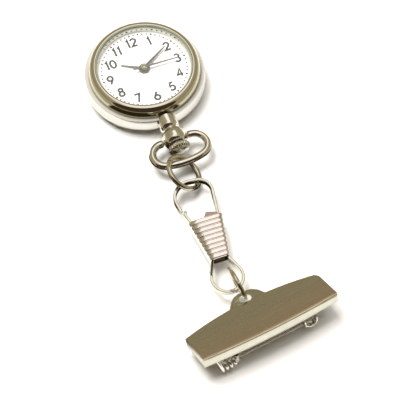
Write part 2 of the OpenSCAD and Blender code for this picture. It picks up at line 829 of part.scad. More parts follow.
// Wire coil round the bar's u axis: a chain of short straight sections, with a leg up to the pad
module pin_coil() {
    sides = 8;
    per_turn = 20;
    turned = coil_turns * per_turn;
    ring = function(p, away, side) [for (k = [0:sides - 1])
        let (b = 360 / sides * k) p + coil_wire * (cos(b) * away + sin(b) * side)];
    top = [leg_u, coil_v + 0.2, -sheet_t - pad_t - 0.05];
    from = [coil_u, coil_v - coil_r, coil_w];
    rings = concat([for (t = [0:3]) ring(top + (from - top) * t / 4, [0, -1, 0], [1, 0, 0])],
        [for (i = [0:turned]) let (a = 360 / per_turn * i - 90, away = [0, sin(a), -cos(a)])
            ring([coil_u + coil_pitch * i / per_turn, coil_v, coil_w] + coil_r * away, away, [1, 0, 0])]);
    last = len(rings) - 1;
    walls = [for (i = [0:last - 1], k = [0:sides - 1])
        let (n = (k + 1) % sides)
        [i * sides + k, i * sides + n, (i + 1) * sides + n, (i + 1) * sides + k]];
    ends = [[for (k = [sides - 1:-1:0]) k], [for (k = [0:sides - 1]) last * sides + k]];
    color(steel) on_bar() polyhedron([for (r = rings, p = r) p], concat(walls, ends));
}

module pin_rivet() {
    length = knuckle_h + 2 * (ear_gap + ear_t);
    color(steel) on_bar() translate([hinge_u, coil_v, pin_w - length / 2]) cylinder(r = hinge_r, h = length);
}

module brooch_pin() {
    color(steel) on_bar() difference() {
        union() {
            translate([hinge_u, coil_v, pin_w - knuckle_h / 2]) cylinder(r = knuckle_r, h = knuckle_h);
            translate([hinge_u, coil_v, pin_w]) rotate([0, 90, 0]) {
                cylinder(r = pin_r, h = pin_end - taper - hinge_u);
                translate([0, 0, pin_end - taper - hinge_u])
                    cylinder(r1 = pin_r, r2 = pin_point_r, h = taper);
            }
        }
        translate([hinge_u, coil_v, pin_w - 2]) cylinder(r = hinge_r + running, h = 4);
    }
}

// U-shaped strap; the pin snaps into the slot in the front of its left leg
module pin_catch() {
    arc_w = catch_low + catch_half;
    roof = -sheet_t - pad_t;
    color(steel) on_bar() translate([catch_u, coil_v - catch_w / 2, 0]) difference() {
        union() {
            translate([-catch_half, 0, arc_w]) cube([2 * catch_half, catch_w, -sheet_t - arc_w]);
            translate([0, 0, arc_w]) rotate([-90, 0, 0]) cylinder(r = catch_half, h = catch_w);
            translate([-catch_pad / 2, 0.3, roof]) cube([catch_pad, catch_w + 0.7, pad_t]);
        }
        translate([catch_t - catch_half, -1, arc_w])
            cube([2 * (catch_half - catch_t), catch_w + 2, roof - arc_w]);
        translate([0, -1, arc_w]) rotate([-90, 0, 0]) cylinder(r = catch_half - catch_t, h = catch_w + 2);
        translate([-catch_half - 1, -1, pin_w - slot_h / 2]) cube([2, catch_w / 2 + 1.45, slot_h]);
    }
}

case_body();
case_back();
back_gasket();
bezel();
crystal();
crystal_gasket();
dial();
movement_holder();
main_plate();
train_bridge();
bridge_screws();
circuit_board();
quartz_can();
stator();
drive_coil();
battery();
battery_clip();
rotor();
step_wheel();
second_arbor();
second_hand();
third_wheel();
centre_wheel();
minute_hand();
minute_wheel();
hour_wheel();
hour_hand();
winding_stem();
crown();
pendant();
bow();
upper_jump_ring();
clip_strip();
clip_sleeve();
clip_tongue();
clip_gate();
gate_rivet();
lower_jump_ring();
brooch_bar();
pin_bracket();
pin_coil();
pin_rivet();
brooch_pin();
pin_catch();
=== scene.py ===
"""Nurse's fob watch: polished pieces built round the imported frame. Shapes are drawn in millimetres."""

import math

import bmesh
import bpy
from mathutils import Matrix, Vector, geometry


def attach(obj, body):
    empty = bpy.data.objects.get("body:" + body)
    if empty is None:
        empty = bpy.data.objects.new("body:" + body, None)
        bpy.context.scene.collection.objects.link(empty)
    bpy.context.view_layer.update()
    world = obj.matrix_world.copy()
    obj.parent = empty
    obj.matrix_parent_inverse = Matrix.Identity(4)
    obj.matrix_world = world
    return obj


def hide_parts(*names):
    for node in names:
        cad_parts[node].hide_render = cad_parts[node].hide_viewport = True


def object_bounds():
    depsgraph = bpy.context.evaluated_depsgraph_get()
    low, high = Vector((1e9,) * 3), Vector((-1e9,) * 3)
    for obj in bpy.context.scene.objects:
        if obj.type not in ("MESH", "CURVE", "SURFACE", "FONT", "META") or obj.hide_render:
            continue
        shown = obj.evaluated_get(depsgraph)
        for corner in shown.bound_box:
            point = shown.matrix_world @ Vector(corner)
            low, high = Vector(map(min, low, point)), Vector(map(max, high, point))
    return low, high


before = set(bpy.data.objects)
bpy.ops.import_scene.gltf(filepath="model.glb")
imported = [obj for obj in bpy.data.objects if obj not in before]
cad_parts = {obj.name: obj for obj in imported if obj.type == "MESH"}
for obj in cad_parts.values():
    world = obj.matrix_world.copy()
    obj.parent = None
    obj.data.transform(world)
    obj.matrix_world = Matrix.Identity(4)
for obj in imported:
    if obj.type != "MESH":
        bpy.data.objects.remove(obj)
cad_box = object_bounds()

MM = 0.001
TAU = 2 * math.pi

# Watch head
SEAM_Z = 4.8
HEAD_H = 7.5
BEZEL_R = 12.9
OPENING_R = 11.05
BACK_R = 11.3
DIAL_Z = 5.65
DIAL_R = 10.88
TRACK_R = 9.77
NUMERAL_R = 7.85
NUMERAL_H = 2.25
HOUR_AT, MINUTE_AT, SECOND_AT = 301, 60, 93
HOUR_Z, MINUTE_Z, SECOND_Z = 5.9, 6.2, 6.5
INK = 0.02  # thickness of the dial's print
HOUR_DOT, MINUTE_DOT = 0.26, 0.2
STROKE, GLYPH_ADVANCE, NARROW_ADVANCE = 0.5, 0.72, {"1": 0.53}
NUMERAL_SPREAD, NUDGE = 1.04, {1: -0.25, 10: 0.35, 12: -0.2}

# Pendant and bow, on an axis along -Y
PENDANT_Z = 3.15
BOW_PIVOT = 18.7
BOW_WIRE = 0.85
LOBE_R, LOBE_X, BAR_Y = 2.9, 3.5, 24.95
LOBE_Y = BOW_PIVOT + LOBE_R
FRONT_R = (LOBE_X**2 + (BAR_Y - LOBE_Y) ** 2 - LOBE_R**2) / (2 * (BAR_Y - LOBE_Y - LOBE_R))
FRONT_Y = BAR_Y - FRONT_R
FRONT_HALF = math.degrees(math.atan(LOBE_X / (LOBE_Y - FRONT_Y)))
CROWN_FROM = 20.15
FLUTES = 22

# Clip
CLIP_Z = 2.7
STRIP_T, STRIP_W = 0.65, 1.5
HOOK_C, HOOK_R, HOOK_FROM, HOOK_TO = (-1.915, -33.74), 4, 80, 184
CREST, SHOULDER_R, SHOULDER_TO = 1.49, 3, -11.8
LOOP_C, LOOP_R, LOOP_RIGHT, LOOP_LEFT = (-2.655, -54.35), 3.4, 20.8, 152.7
FREE_LEN, NECK_LEN, TAIL_LEN = 2.45, 3.7, 3.1
GATE_PIN = (-3.905, -43.8)
SLEEVE_TOP, SLEEVE_LOW = (-1.775, -40), (-2.455, -49.9)
SLEEVE_TOP_SIZE, SLEEVE_LOW_SIZE = (7.6, 3.9), (4.3, 3.2)
RIBS = 9

# Brooch bar: u along the bar, v towards its tab, w up from its top face
BAR_POS = (0.4, -69.45, 7.2)
BAR_TILT, BAR_YAW = -20, 5.5
PAD_T, KNUCKLE_R, KNUCKLE_HALF, EAR_T, EAR_GAP = 0.4, 0.6, 0.45, 0.3, 0.1
FRONT_U, FRONT_BULGE = 15.65, 0.7
BACK_LEFT, BACK_V, BACK_R_BAR, BACK_MID = -16.27, 8.8, 63.4, -0.7
CORNER_AT, CORNER_R, CORNER_FROM, CORNER_TO = (13.4, 5.52), 1.65, 5.9, 76.8
TAB_U, TAB_V, TAB_ROOT, TAB_TOP = -0.65, 11.5, 4.1, 2.2
HOLE_AT, HOLE_R = (-0.8, 9.75), 1.3
SKIRT_H, SHEET_T = 2.8, 0.5
COIL_AT, COIL_R, COIL_WIRE, COIL_TURNS, LEG_U = (-12.1, 0.9, -5.7), 1.05, 0.36, 3, -13.3
HINGE_U, PIN_W, PIN_R, PIN_END = -8.3, -5.4, 0.3, 10
CATCH_U, CATCH_HALF, CATCH_W, CATCH_T, CATCH_LOW = 9, 1.55, 1.9, 0.35, -6.4
ROOF_W, PIN_V = -SHEET_T - PAD_T, COIL_AT[1]  # underside of the fittings' pads, line of the pin

# Studio: the camera's place and axes, and the way from the watch to the dark stand on the table
CAMERA_AT = (-53.39, -161.26, 250.24)
CAMERA_RIGHT, CAMERA_UP = (0.92321, -0.38430, 0), (0.33628, 0.80785, 0.48404)
LENS, SENSOR = 117, 36
STAND_WAY = (-0.384, -0.923, 0)
OLIVE, DARK = (0.3, 0.27, 0.18), (0.03, 0.02, 0.012)


# ---------------------------------------------------------------- outlines


def arc(centre, radius, start, end, step=4):
    """Points of an arc in a plane, angles in degrees."""
    n = max(2, math.ceil(abs(end - start) / step))
    angles = [math.radians(start + (end - start) * i / n) for i in range(n + 1)]
    return [(centre[0] + radius * math.cos(a), centre[1] + radius * math.sin(a)) for a in angles]


def spline(points, per=8):
    """A smooth open curve through the points, of any dimension."""
    out = []
    for i in range(len(points) - 1):
        p = [points[max(0, i - 1)], points[i], points[i + 1], points[min(len(points) - 1, i + 2)]]
        for k in range(per):
            t = k / per
            out.append(tuple(
                0.5 * (2 * b + (c - a) * t + (2 * a - 5 * b + 4 * c - d) * t**2
                       + (3 * b - a - 3 * c + d) * t**3)
                for a, b, c, d in zip(*p)))
    return out + [tuple(points[-1])]


def rounded(points, closed=True, steps=5, hold=0.02):
    """A polyline whose corners (x, y, radius) are rounded, with a held point on each side of a bend."""
    out, n = [], len(points)
    for i, (x, y, radius) in enumerate(points):
        ends = not closed and i in (0, n - 1)
        p = Vector((x, y))
        if not radius or ends:
            out.append((x, y))
            continue
        a = Vector(points[i - 1][:2]) - p
        b = Vector(points[(i + 1) % n][:2]) - p
        half = a.angle(b) / 2
        reach = min(radius / math.tan(half), 0.49 * a.length, 0.49 * b.length)
        radius = reach * math.tan(half)
        a.normalize(), b.normalize()
        centre = p + (a + b).normalized() * (radius / math.sin(half))
        start, end = p + a * reach, p + b * reach
        first, last = start - centre, end - centre
        turn = first.angle_signed(last)
        out.append(tuple(start + a * hold))
        for k in range(steps + 1):
            q = first.copy()
            q.rotate(Matrix.Rotation(-turn * k / steps, 2))
            out.append(tuple(centre + q))
        out.append(tuple(end + b * hold))
    return out


def offset(points, g, closed=True):
    """The outline moved g to its left, with mitred corners."""
    out, n = [], len(points)
    for i in range(n):
        p = Vector(points[i])
        before = points[i - 1] if closed or i else None
        after = points[(i + 1) % n] if closed or i < n - 1 else None
        m = (p - Vector(before)).normalized() if before else (Vector(after) - p).normalized()
        k = (Vector(after) - p).normalized() if after else m
        normal = Vector((-m.y - k.y, m.x + k.x))
        out.append(tuple(p + normal * (g / max(0.3, 1 + m.dot(k)))))
    return out


def bar_outline(g):
    """Front, corner and back of the bar's top outline, drawn in by g, counter-clockwise."""
    front_r = (FRONT_U**2 + FRONT_BULGE**2) / (2 * FRONT_BULGE)
    front_a = math.degrees(math.asin((FRONT_U - g) / front_r))
    back_a = math.degrees(math.asin((BACK_MID - BACK_LEFT - g) / BACK_R_BAR))
    front = arc((0, front_r - FRONT_BULGE + g), front_r, 270 - front_a, 270 + front_a, 0.4)
    corner = arc(CORNER_AT, CORNER_R - g, CORNER_FROM, CORNER_TO, 6)
    back = arc((BACK_MID, BACK_V - BACK_R_BAR), BACK_R_BAR - g, CORNER_TO, 90 + back_a, 0.5)
    return front, corner, back


# ---------------------------------------------------------------- solids


def loft(rings, closed=False, caps=True):
    """Vertices and faces of a skin over rings of equally many points."""
    n, m = len(rings[0]), len(rings)
    verts = [tuple(p) for ring in rings for p in ring]
    faces = []
    for i in range(m if closed else m - 1):
        j = (i + 1) % m
        faces += [(i * n + k, i * n + (k + 1) % n, j * n + (k + 1) % n, j * n + k) for k in range(n)]
    if caps and not closed:
        faces += [tuple(range(n)), tuple((m - 1) * n + k for k in range(n))]
    return verts, faces


def turned(profile, steps=160, warp=None):
    """Profile (r, z) turned round +Z: a closed one makes a ring, one from axis to axis a solid."""
    solid = profile[0][0] < 1e-6 and profile[-1][0] < 1e-6
    body = profile[1:-1] if solid else profile
    rings = []
    for i in range(steps):
        a = TAU * i / steps
        ring = []
        for r, z in body:
            r2, z2 = warp(r, z, a) if warp else (r, z)
            ring.append((r2 * math.cos(a), r2 * math.sin(a), z2))
        rings.append(ring)
    m, verts, faces = len(body), [p for ring in rings for p in ring], []
    for i in range(steps):
        j = (i + 1) % steps
        faces += [(i * m + k, j * m + k, j * m + (k + 1) % m, i * m + (k + 1) % m)
                  for k in range(m - 1 if solid else m)]
    if solid:
        for pole, k in ((profile[0], 0), (profile[-1], m - 1)):
            verts.append((0, 0, pole[1]))
            faces += [(i * m + k, (i + 1) % steps * m + k, len(verts) - 1) for i in range(steps)]
    return verts, faces


def wire(points, radius, sides=20):
    """A round wire with softened ends along points in space. radius is a number, or one for each point."""
    points = [Vector(p) for p in points]
    n = len(points)
    radii = radius if isinstance(radius, list) else [radius] * n
    tangents = [(points[min(i + 1, n - 1)] - points[max(i - 1, 0)]).normalized() for i in range(n)]
    side = tangents[0].orthogonal().normalized()
    frames = []
    for p, t, r in zip(points, tangents, radii):
        side = (side - t * side.dot(t)).normalized()
        frames.append((p, t, side, t.cross(side), r))

    def ring(f, share=1.0, along=0.0):
        p, t, s, b, r = f
        turns = [TAU * k / sides for k in range(sides)]
        return [p + t * along * r + (s * math.cos(a) + b * math.sin(a)) * r * share for a in turns]

    edge = 0.22
    shut = [(1 - edge * (1 - math.cos(a)), edge * (1 - math.sin(a))) for a in (1.45, 1.1, 0.7, 0.3)]
    shut.append((1, edge))
    head, tail = frames[0], frames[-1]
    return loft([ring(head, share, along) for share, along in shut] + [ring(f) for f in frames[1:-1]]
                + [ring(tail, share, -along) for share, along in reversed(shut)])


def band(path, thick, wide, z, edge=0.14):
    """A flat strip of rounded section that stands on its edge along a path in the XY plane."""
    section = rounded([(-thick / 2, -wide / 2, edge), (thick / 2, -wide / 2, edge),
                       (thick / 2, wide / 2, edge), (-thick / 2, wide / 2, edge)], steps=3)
    path = [Vector(p) for p in path]
    n, rings = len(path), []
    for i in range(n):
        a, b = path[max(i - 1, 0)], path[min(i + 1, n - 1)]
        before = (path[i] - a).normalized() if i else (b - path[i]).normalized()
        after = (b - path[i]).normalized() if i < n - 1 else before
        normal = Vector((-before.y - after.y, before.x + after.x)) / max(0.4, 1 + before.dot(after))
        rings.append([(path[i].x + normal.x * s, path[i].y + normal.y * s, z + h) for s, h in section])
    for end, inward in ((0, 1), (n - 1, -1)):
        t = (path[1] - path[0]).normalized() if end == 0 else (path[-1] - path[-2]).normalized()
        cap = []
        into = (t * inward * edge).to_3d()
        mid = Vector((*path[end], z))
        for share, depth in ((0.86, 0), (0.96, 0.3)):
            cap.append([mid + (Vector(p) - mid) * share + into * depth for p in rings[end]])
        body = [Vector(p) + into for p in rings[end]]
        if end == 0:
            rings = cap + [body] + rings[1:]
        else:
            rings = rings[:-1] + [body] + cap[::-1]
    return loft(rings)


def slab(outline, low, high, edge=0.05, holes=(), steps=3, low_edge=None):
    """A plate over a counter-clockwise outline with rounded rims. Holes are clockwise outlines."""
    low_edge = edge if low_edge is None else low_edge
    levels = []
    for e, z, way in ((low_edge, low, 1), (edge, high, -1)):
        part = [(e * (1 - math.sin(a)), z + way * e * (1 - math.cos(a)))
                for a in [math.pi / 2 * k / steps for k in range(steps + 1)]] if e else [(0, z)]
        if e:
            part.insert(0, (e + 0.03, z))
        levels += part if way == 1 else part[::-1]
    verts, faces = [], []
    bottoms, tops = [], []
    for shape in [outline, *holes]:
        rings = [[(*p, z) for p in offset(shape, g)] for g, z in levels]
        base = len(verts)
        v, f = loft(rings, caps=False)
        verts += v
        faces += [tuple(base + i for i in q) for q in f]
        n = len(shape)
        bottoms.append([base + k for k in range(n)])
        tops.append([base + (len(rings) - 1) * n + k for k in range(n)])
    for group in (bottoms, tops):
        flat = [i for ids in group for i in ids]
        loops = [[Vector((verts[i][0], verts[i][1], 0)) for i in ids] for ids in group]
        faces += [tuple(flat[i] for i in tri) for tri in geometry.tessellate_polygon(loops)]
    return verts, faces


def moved(solid, matrix):
    """The solid with its vertices moved by a matrix."""
    verts, faces = solid
    return [tuple(matrix @ Vector(v)) for v in verts], faces


ON_PENDANT = Matrix.Translation((0, 0, PENDANT_Z)) @ Matrix.Rotation(math.radians(90), 4, "X")
ON_BAR = (Matrix.Translation(BAR_POS) @ Matrix.Rotation(math.radians(BAR_YAW), 4, "Z")
          @ Matrix.Rotation(math.radians(BAR_TILT), 4, "X"))


def piece(name, body, look, solids, replaces=(), sharp=32):
    """One mesh object from several solids, riding on a body and standing for CAD nodes."""
    mesh = bpy.data.meshes.new(name)
    verts, faces = [], []
    for v, f in solids:
        base = len(verts)
        verts += [tuple(c * MM for c in p) for p in v]
        faces += [tuple(base + i for i in q) for q in f]
    mesh.from_pydata(verts, [], faces)
    mesh.validate()
    bm = bmesh.new()
    bm.from_mesh(mesh)
    bmesh.ops.remove_doubles(bm, verts=bm.verts, dist=1e-8)
    bmesh.ops.recalc_face_normals(bm, faces=bm.faces)
    for f in bm.faces:
        f.smooth = True
    bm.to_mesh(mesh)
    bm.free()
    mesh.set_sharp_from_angle(angle=math.radians(sharp))
    obj = bpy.data.objects.new(name, mesh)
    bpy.context.scene.collection.objects.link(obj)
    mesh.materials.append(look)
    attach(obj, body)
    if replaces:
        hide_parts(*replaces)


# ---------------------------------------------------------------- materials


class Tree:
    """Short calls for the nodes of a material or a world."""

    def __init__(self, owner, output):
        owner.use_nodes = True
        self.nodes, self.links = owner.node_tree.nodes, owner.node_tree.links
        self.place = self.nodes.new("ShaderNodeTexCoord").outputs[output]

    def feed(self, value, socket):
        """Link an output to a socket, or set it to a number or colour."""
        if isinstance(value, bpy.types.NodeSocket):
            self.links.new(value, socket)
        else:
            socket.default_value = (*value, 1) if isinstance(value, tuple) else value

    def noise(self, vector, scale, detail, roughness=0.55):
        node = self.nodes.new("ShaderNodeTexNoise")
        for key, v in (("Vector", vector), ("Scale", scale), ("Detail", detail), ("Roughness", roughness)):
            self.feed(v, node.inputs[key])
        return node.outputs["Fac"]

    def spread(self, value, low, high, out_low, out_high, how="LINEAR"):
        """The value's way from low to high, laid over another span."""
        node = self.nodes.new("ShaderNodeMapRange")
        node.interpolation_type = how
        self.links.new(value, node.inputs["Value"])
        for key, v in (("From Min", low), ("From Max", high), ("To Min", out_low), ("To Max", out_high)):
            node.inputs[key].default_value = v
        return node.outputs["Result"]

    def smooth(self, value, low, high):
        """A soft step from 0 at low to 1 at high."""
        ends = (0, 1) if low < high else (1, 0)
        return self.spread(value, min(low, high), max(low, high), *ends, "SMOOTHSTEP")

    def combine(self, how, *values):
        """One mathematical operation run through several values."""
        result = values[0]
        for value in values[1:]:
            node = self.nodes.new("ShaderNodeMath")
            node.operation = how
            self.links.new(result, node.inputs[0])
            self.links.new(value, node.inputs[1])
            result = node.outputs["Value"]
        return result

    def vector(self, how, value, other=None):
        """A vector operation with a fixed second vector. LENGTH and DOT_PRODUCT give a number."""
        node = self.nodes.new("ShaderNodeVectorMath")
        node.operation = how
        self.links.new(value, node.inputs[0])
        if other is not None:
            node.inputs[1].default_value = other
        return node.outputs["Value" if how in ("LENGTH", "DOT_PRODUCT") else "Vector"]

    def mix(self, share, a, b, blend="MIX"):
        """Colour a with a share of colour b laid over it."""
        node = self.nodes.new("ShaderNodeMix")
        node.data_type, node.blend_type = "RGBA", blend
        self.feed(share, node.inputs[0])
        self.feed(a, node.inputs[6])
        self.feed(b, node.inputs[7])
        return node.outputs[2]

    def ramp(self, value, stops):
        """Colours at places from 0 to 1, picked by the value."""
        node = self.nodes.new("ShaderNodeValToRGB")
        self.links.new(value, node.inputs["Fac"])
        elements = node.color_ramp.elements
        while len(elements) < len(stops):
            elements.new(0.5)
        for element, (at, colour) in zip(elements, stops):
            element.position, element.color = at, (*colour, 1)
        return node.outputs["Color"]


class Look(Tree):
    """A Principled material. Its coordinates are in millimetres."""

    def __init__(self, name, colour, metallic, rough, **sockets):
        self.mat = bpy.data.materials.new(name)
        super().__init__(self.mat, "Object")
        self.shader = self.nodes["Principled BSDF"]
        for key, value in {"Base Color": colour, "Metallic": metallic, "Roughness": rough, **sockets}.items():
            self.feed(value, self.shader.inputs[key])

    def mapped(self, scale, matrix=None):
        """The place in millimetres, turned into a frame of its own and stretched."""
        node = self.nodes.new("ShaderNodeMapping")
        node.vector_type = "TEXTURE"
        self.links.new(self.place, node.inputs["Vector"])
        if matrix is not None:
            node.inputs["Location"].default_value = matrix.to_translation() * MM
            node.inputs["Rotation"].default_value = matrix.to_euler()
        node.inputs["Scale"].default_value = [MM / s for s in scale]
        return node.outputs["Vector"]

    def split(self, matrix=None):
        """Outputs X, Y and Z of the place in millimetres."""
        node = self.nodes.new("ShaderNodeSeparateXYZ")
        self.links.new(self.mapped((1, 1, 1), matrix), node.inputs["Vector"])
        return node.outputs

    def radius(self):
        """Distance from the watch's axis in millimetres."""
        return self.vector("LENGTH", self.vector("MULTIPLY", self.mapped((1, 1, 1)), (1, 1, 0)))

    def to(self, socket, output):
        self.links.new(output, self.shader.inputs[socket])

    def bump(self, value, strength, distance):
        node = self.nodes.new("ShaderNodeBump")
        node.inputs["Strength"].default_value = strength
        node.inputs["Distance"].default_value = distance * MM
        self.links.new(value, node.inputs["Height"])
        self.to("Normal", node.outputs["Normal"])


def polished(name, colour, rough, wave=0.03):
    """Plated metal: soft waves of the buffing wheel, fine wipe marks and a slightly uneven tone."""
    look = Look(name, colour, 1.0, rough)
    slow = look.noise(look.mapped((1, 1, 1)), 0.6, 2)
    fine = look.noise(look.mapped((2.5, 18, 9)), 1.0, 4, 0.65)
    look.to("Roughness", look.spread(fine, 0.35, 0.75, rough * 0.7, rough + 0.08))
    tone = [(0.3, tuple(c * 0.93 for c in colour)), (0.7, tuple(min(1, c * 1.04) for c in colour))]
    look.to("Base Color", look.ramp(slow, tone))
    look.bump(slow, 0.25, wave)
    return look.mat


def brushed(name, colour, rough, stretch, matrix=None, depth=0.004):
    """Metal with a grain along one axis of its own frame."""
    look = Look(name, colour, 1.0, rough)
    grain = look.noise(look.mapped(stretch, matrix), 1.0, 6, 0.7)
    look.to("Base Color", look.ramp(grain, [(0.25, tuple(c * 0.88 for c in colour)),
                                            (0.75, tuple(min(1, c * 1.12) for c in colour))]))
    look.to("Roughness", look.spread(grain, 0.3, 0.7, rough * 0.8, rough * 1.25))
    look.bump(grain, 0.3, depth)
    return look.mat


def circular(name, colour, rough):
    """Metal turned on a lathe: fine rings round the watch's axis."""
    look = Look(name, colour, 1.0, rough)
    radial = look.nodes.new("ShaderNodeCombineXYZ")
    look.links.new(look.radius(), radial.inputs["X"])
    rings = look.noise(radial.outputs["Vector"], 6.0, 5, 0.7)
    look.to("Base Color", look.ramp(rings, [(0.3, tuple(c * 0.88 for c in colour)), (0.7, colour)]))
    look.to("Roughness", look.spread(rings, 0.3, 0.7, rough * 0.8, rough * 1.3))
    look.bump(rings, 0.3, 0.01)
    return look.mat


def plain(name, colour, rough, grain=0.06, size=3.0, depth=0.004, metallic=0.0, **sockets):
    """Moulded, painted or lacquered surface with a fine uneven grain."""
    look = Look(name, colour, metallic, rough, **sockets)
    fine = look.noise(look.mapped((1, 1, 1)), size, 4, 0.6)
    look.to("Base Color", look.ramp(fine, [(0.3, tuple(c * (1 - grain) for c in colour)), (0.7, colour)]))
    look.to("Roughness", look.spread(fine, 0.3, 0.7, rough * 0.85, min(1, rough * 1.15)))
    look.bump(fine, 0.2, depth)
    return look.mat


def brooch_top(name, colour):
    """Long-grained brushed top of the bar: streaks along u, and a painted reflection that turns it browner
    towards the front edge.
    """
    look = Look(name, colour, 1.0, 0.3)
    grain = look.noise(look.mapped((0.07, 9, 9), ON_BAR), 1.0, 6, 0.72)
    slow = look.noise(look.mapped((0.03, 0.5, 0.5), ON_BAR), 1.0, 2)
    # Painted reflection: browner colour at the front edge, fading to the plain tone towards the back.
    across = look.spread(look.split(ON_BAR)["Y"], -0.7, 5.5, 0.0, 1.0)
    front_reflection_brown, cool = (0.74, 0.61, 0.47), (0.66, 0.61, 0.49)
    streak = look.ramp(grain, [(0.25, (0.91, 0.91, 0.91)), (0.75, (1, 1, 1))])
    look.to("Base Color", look.mix(1, look.mix(across, front_reflection_brown, cool), streak, "MULTIPLY"))
    look.to("Roughness", look.spread(slow, 0.3, 0.7, 0.22, 0.34))
    look.bump(grain, 0.35, 0.006)
    return look.mat


def bezel_look(name, colour, wall_reflection_tone, rough):
    """Polished ring with painted light: a painted dark reflection on its foot, and a painted greenish
    reflection on its inner wall that pales towards the dial.
    """
    look = Look(name, colour, 1.0, rough)
    height, radius = look.split()["Z"], look.radius()
    # Painted reflection on the inner wall: pale near the dial, greenish in the middle, dark olive at the top.
    painted_wall_reflection = look.ramp(look.spread(height, 4.8, 7.4, 0.0, 1.0),
                     [(0.0, (0.88, 0.91, 0.82)), (0.45, wall_reflection_tone), (1.0, (0.27, 0.275, 0.19))])
    outside = look.spread(radius, 11.02, 11.12, 0.0, 1.0)
    # Painted dark reflection: the outer foot, below the top and wide of the opening, is multiplied darker.
    light = look.combine("MAXIMUM", look.spread(height, 6.3, 6.95, 0.0, 1.0),
                         look.spread(radius, 11.3, 11.6, 1.0, 0.0))
    foot = look.ramp(light, [(0.0, (0.52, 0.50, 0.42)), (1.0, (1, 1, 1))])
    look.to("Base Color", look.mix(1, look.mix(outside, painted_wall_reflection, colour), foot, "MULTIPLY"))
    fine = look.noise(look.mapped((2.5, 18, 9)), 1.0, 4, 0.65)
    look.to("Roughness", look.spread(fine, 0.35, 0.75, rough * 0.7, rough + 0.06))
    look.bump(look.noise(look.mapped((1, 1, 1)), 0.6, 2), 0.25, 0.02)
    return look.mat


def case_look(name, colour):
    """Polished wall with a satin lip along the seam; the lip's grey colour is a painted reflection."""
    rough, satin, lip_reflection_grey = 0.06, 0.5, (0.50, 0.49, 0.44)
    look = Look(name, colour, 1.0, rough)
    share = look.spread(look.split()["Z"], 4.6, 4.72, 0.0, 1.0)
    look.to("Metallic", look.spread(share, 0, 1, 1.0, 0.1))
    look.to("Roughness", look.spread(share, 0, 1, rough, satin))
    # Painted reflection: the grey colour of the lip along the seam.
    look.to("Base Color", look.ramp(share, [(0.0, colour), (1.0, lip_reflection_grey)]))
    look.bump(look.noise(look.mapped((1, 1, 1)), 0.6, 2), 0.25, 0.02)
    return look.mat


NICKEL = (0.86, 0.83, 0.74)
LOOKS = {
    "nickel": polished("nickel_polished", NICKEL, 0.05),
    # Painted light and shade: case, bezel, ring, clip, sleeve, skirt and fitting are one nickel plating, each
    # brightened or darkened on its own; the bar's grey skirt is a painted shade of the bar's nickel.
    "case": case_look("case_polished", (0.65, 0.64, 0.595)),
    "bezel": bezel_look("bezel_polished", (0.78, 0.75, 0.64), (0.60, 0.62, 0.50), 0.05),
    "ring": polished("ring_nickel", (0.78, 0.74, 0.60), 0.07),
    "clip": polished("clip_nickel", (0.78, 0.77, 0.66), 0.09, 0.03),
    "sleeve": polished("sleeve_nickel", (0.93, 0.88, 0.83), 0.12, 0.01),
    "tongue": brushed("tongue_dull", (0.47, 0.40, 0.34), 0.34, (0.6, 8, 8)),
    "bar": brooch_top("bar_brushed", NICKEL),
    "skirt": polished("skirt_polished", (0.62, 0.605, 0.52), 0.09, 0.02),
    "fitting": polished("fitting_nickel", (0.88, 0.86, 0.80), 0.1),
    "pin": brushed("pin_drawn", (0.62, 0.60, 0.55), 0.24, (0.5, 12, 12), ON_BAR),
    "back": circular("back_turned", (0.66, 0.65, 0.62), 0.26),
    "rubber": plain("seal_rubber", (0.03, 0.03, 0.03), 0.7),
    "gasket": plain("gasket_olive", (0.30, 0.31, 0.22), 0.45),
    "dial": plain("dial_lacquer", (0.93, 0.93, 0.92), 0.42, 0.02, 6.0, 0.002),
    "print": plain("dial_print", (0.012, 0.012, 0.012), 0.6, 0.3, 12.0),
    "hand": brushed("hand_steel", (0.24, 0.235, 0.20), 0.3, (8, 8, 8), None, 0.002),
    "second": plain("second_hand_paint", (0.075, 0.072, 0.055), 0.5, 0.1),
    # Painted shade: the hour and minute hubs are the cap's brass darkened nearly to black, for the dark rings
    # of the hand stack.
    "hub_low": polished("hub_low_brass", (0.10, 0.09, 0.04), 0.15),
    "hub_mid": polished("hub_mid_brass", (0.15, 0.135, 0.065), 0.12),
    "crown": polished("crown_nickel", (0.90, 0.88, 0.80), 0.22),
    "cap": polished("cap_brass", (0.66, 0.63, 0.36), 0.1),
    "holder": plain("holder_ivory", (0.80, 0.77, 0.66), 0.5),
    "board": plain("board_lacquer", (0.03, 0.20, 0.09), 0.35, 0.25, 1.5),
    "copper": plain("coil_copper", (0.45, 0.17, 0.07), 0.35, 0.3, 9.0, 0.02, 0.6),
    "brass": circular("brass_turned", (0.72, 0.56, 0.26), 0.25),
    "steel": brushed("movement_steel", (0.58, 0.58, 0.57), 0.28, (1, 9, 9)),
    "can": polished("can_steel", (0.74, 0.74, 0.73), 0.16),
}
CRYSTAL = plain("crystal_glass", (0.98, 0.99, 0.99), 0.03, 0.01, 0.5, 0.0005, Alpha=0.05)


# ---------------------------------------------------------------- watch head


def make_case():
    """Lower shell with the wide round wall."""
    outer = spline([(12.1, 0.1), (13.0, 0.42), (13.72, 1.1), (14.0, 1.95), (13.93, 2.8), (13.8, 3.7)], 8)
    case = [(11.4, 0.95), (11.4, 0.28), (11.48, 0.12), (11.6, 0.1), *outer, (13.65, 4.73), (13.62, 4.76),
            (12.92, 4.79), (12.7, SEAM_Z), (11.5, SEAM_Z), (11.5, 4.1), (10.87, 4.1), (10.87, 0.95)]
    piece("case", "watch", LOOKS["case"], [turned(case, 256)], ["case_body"])


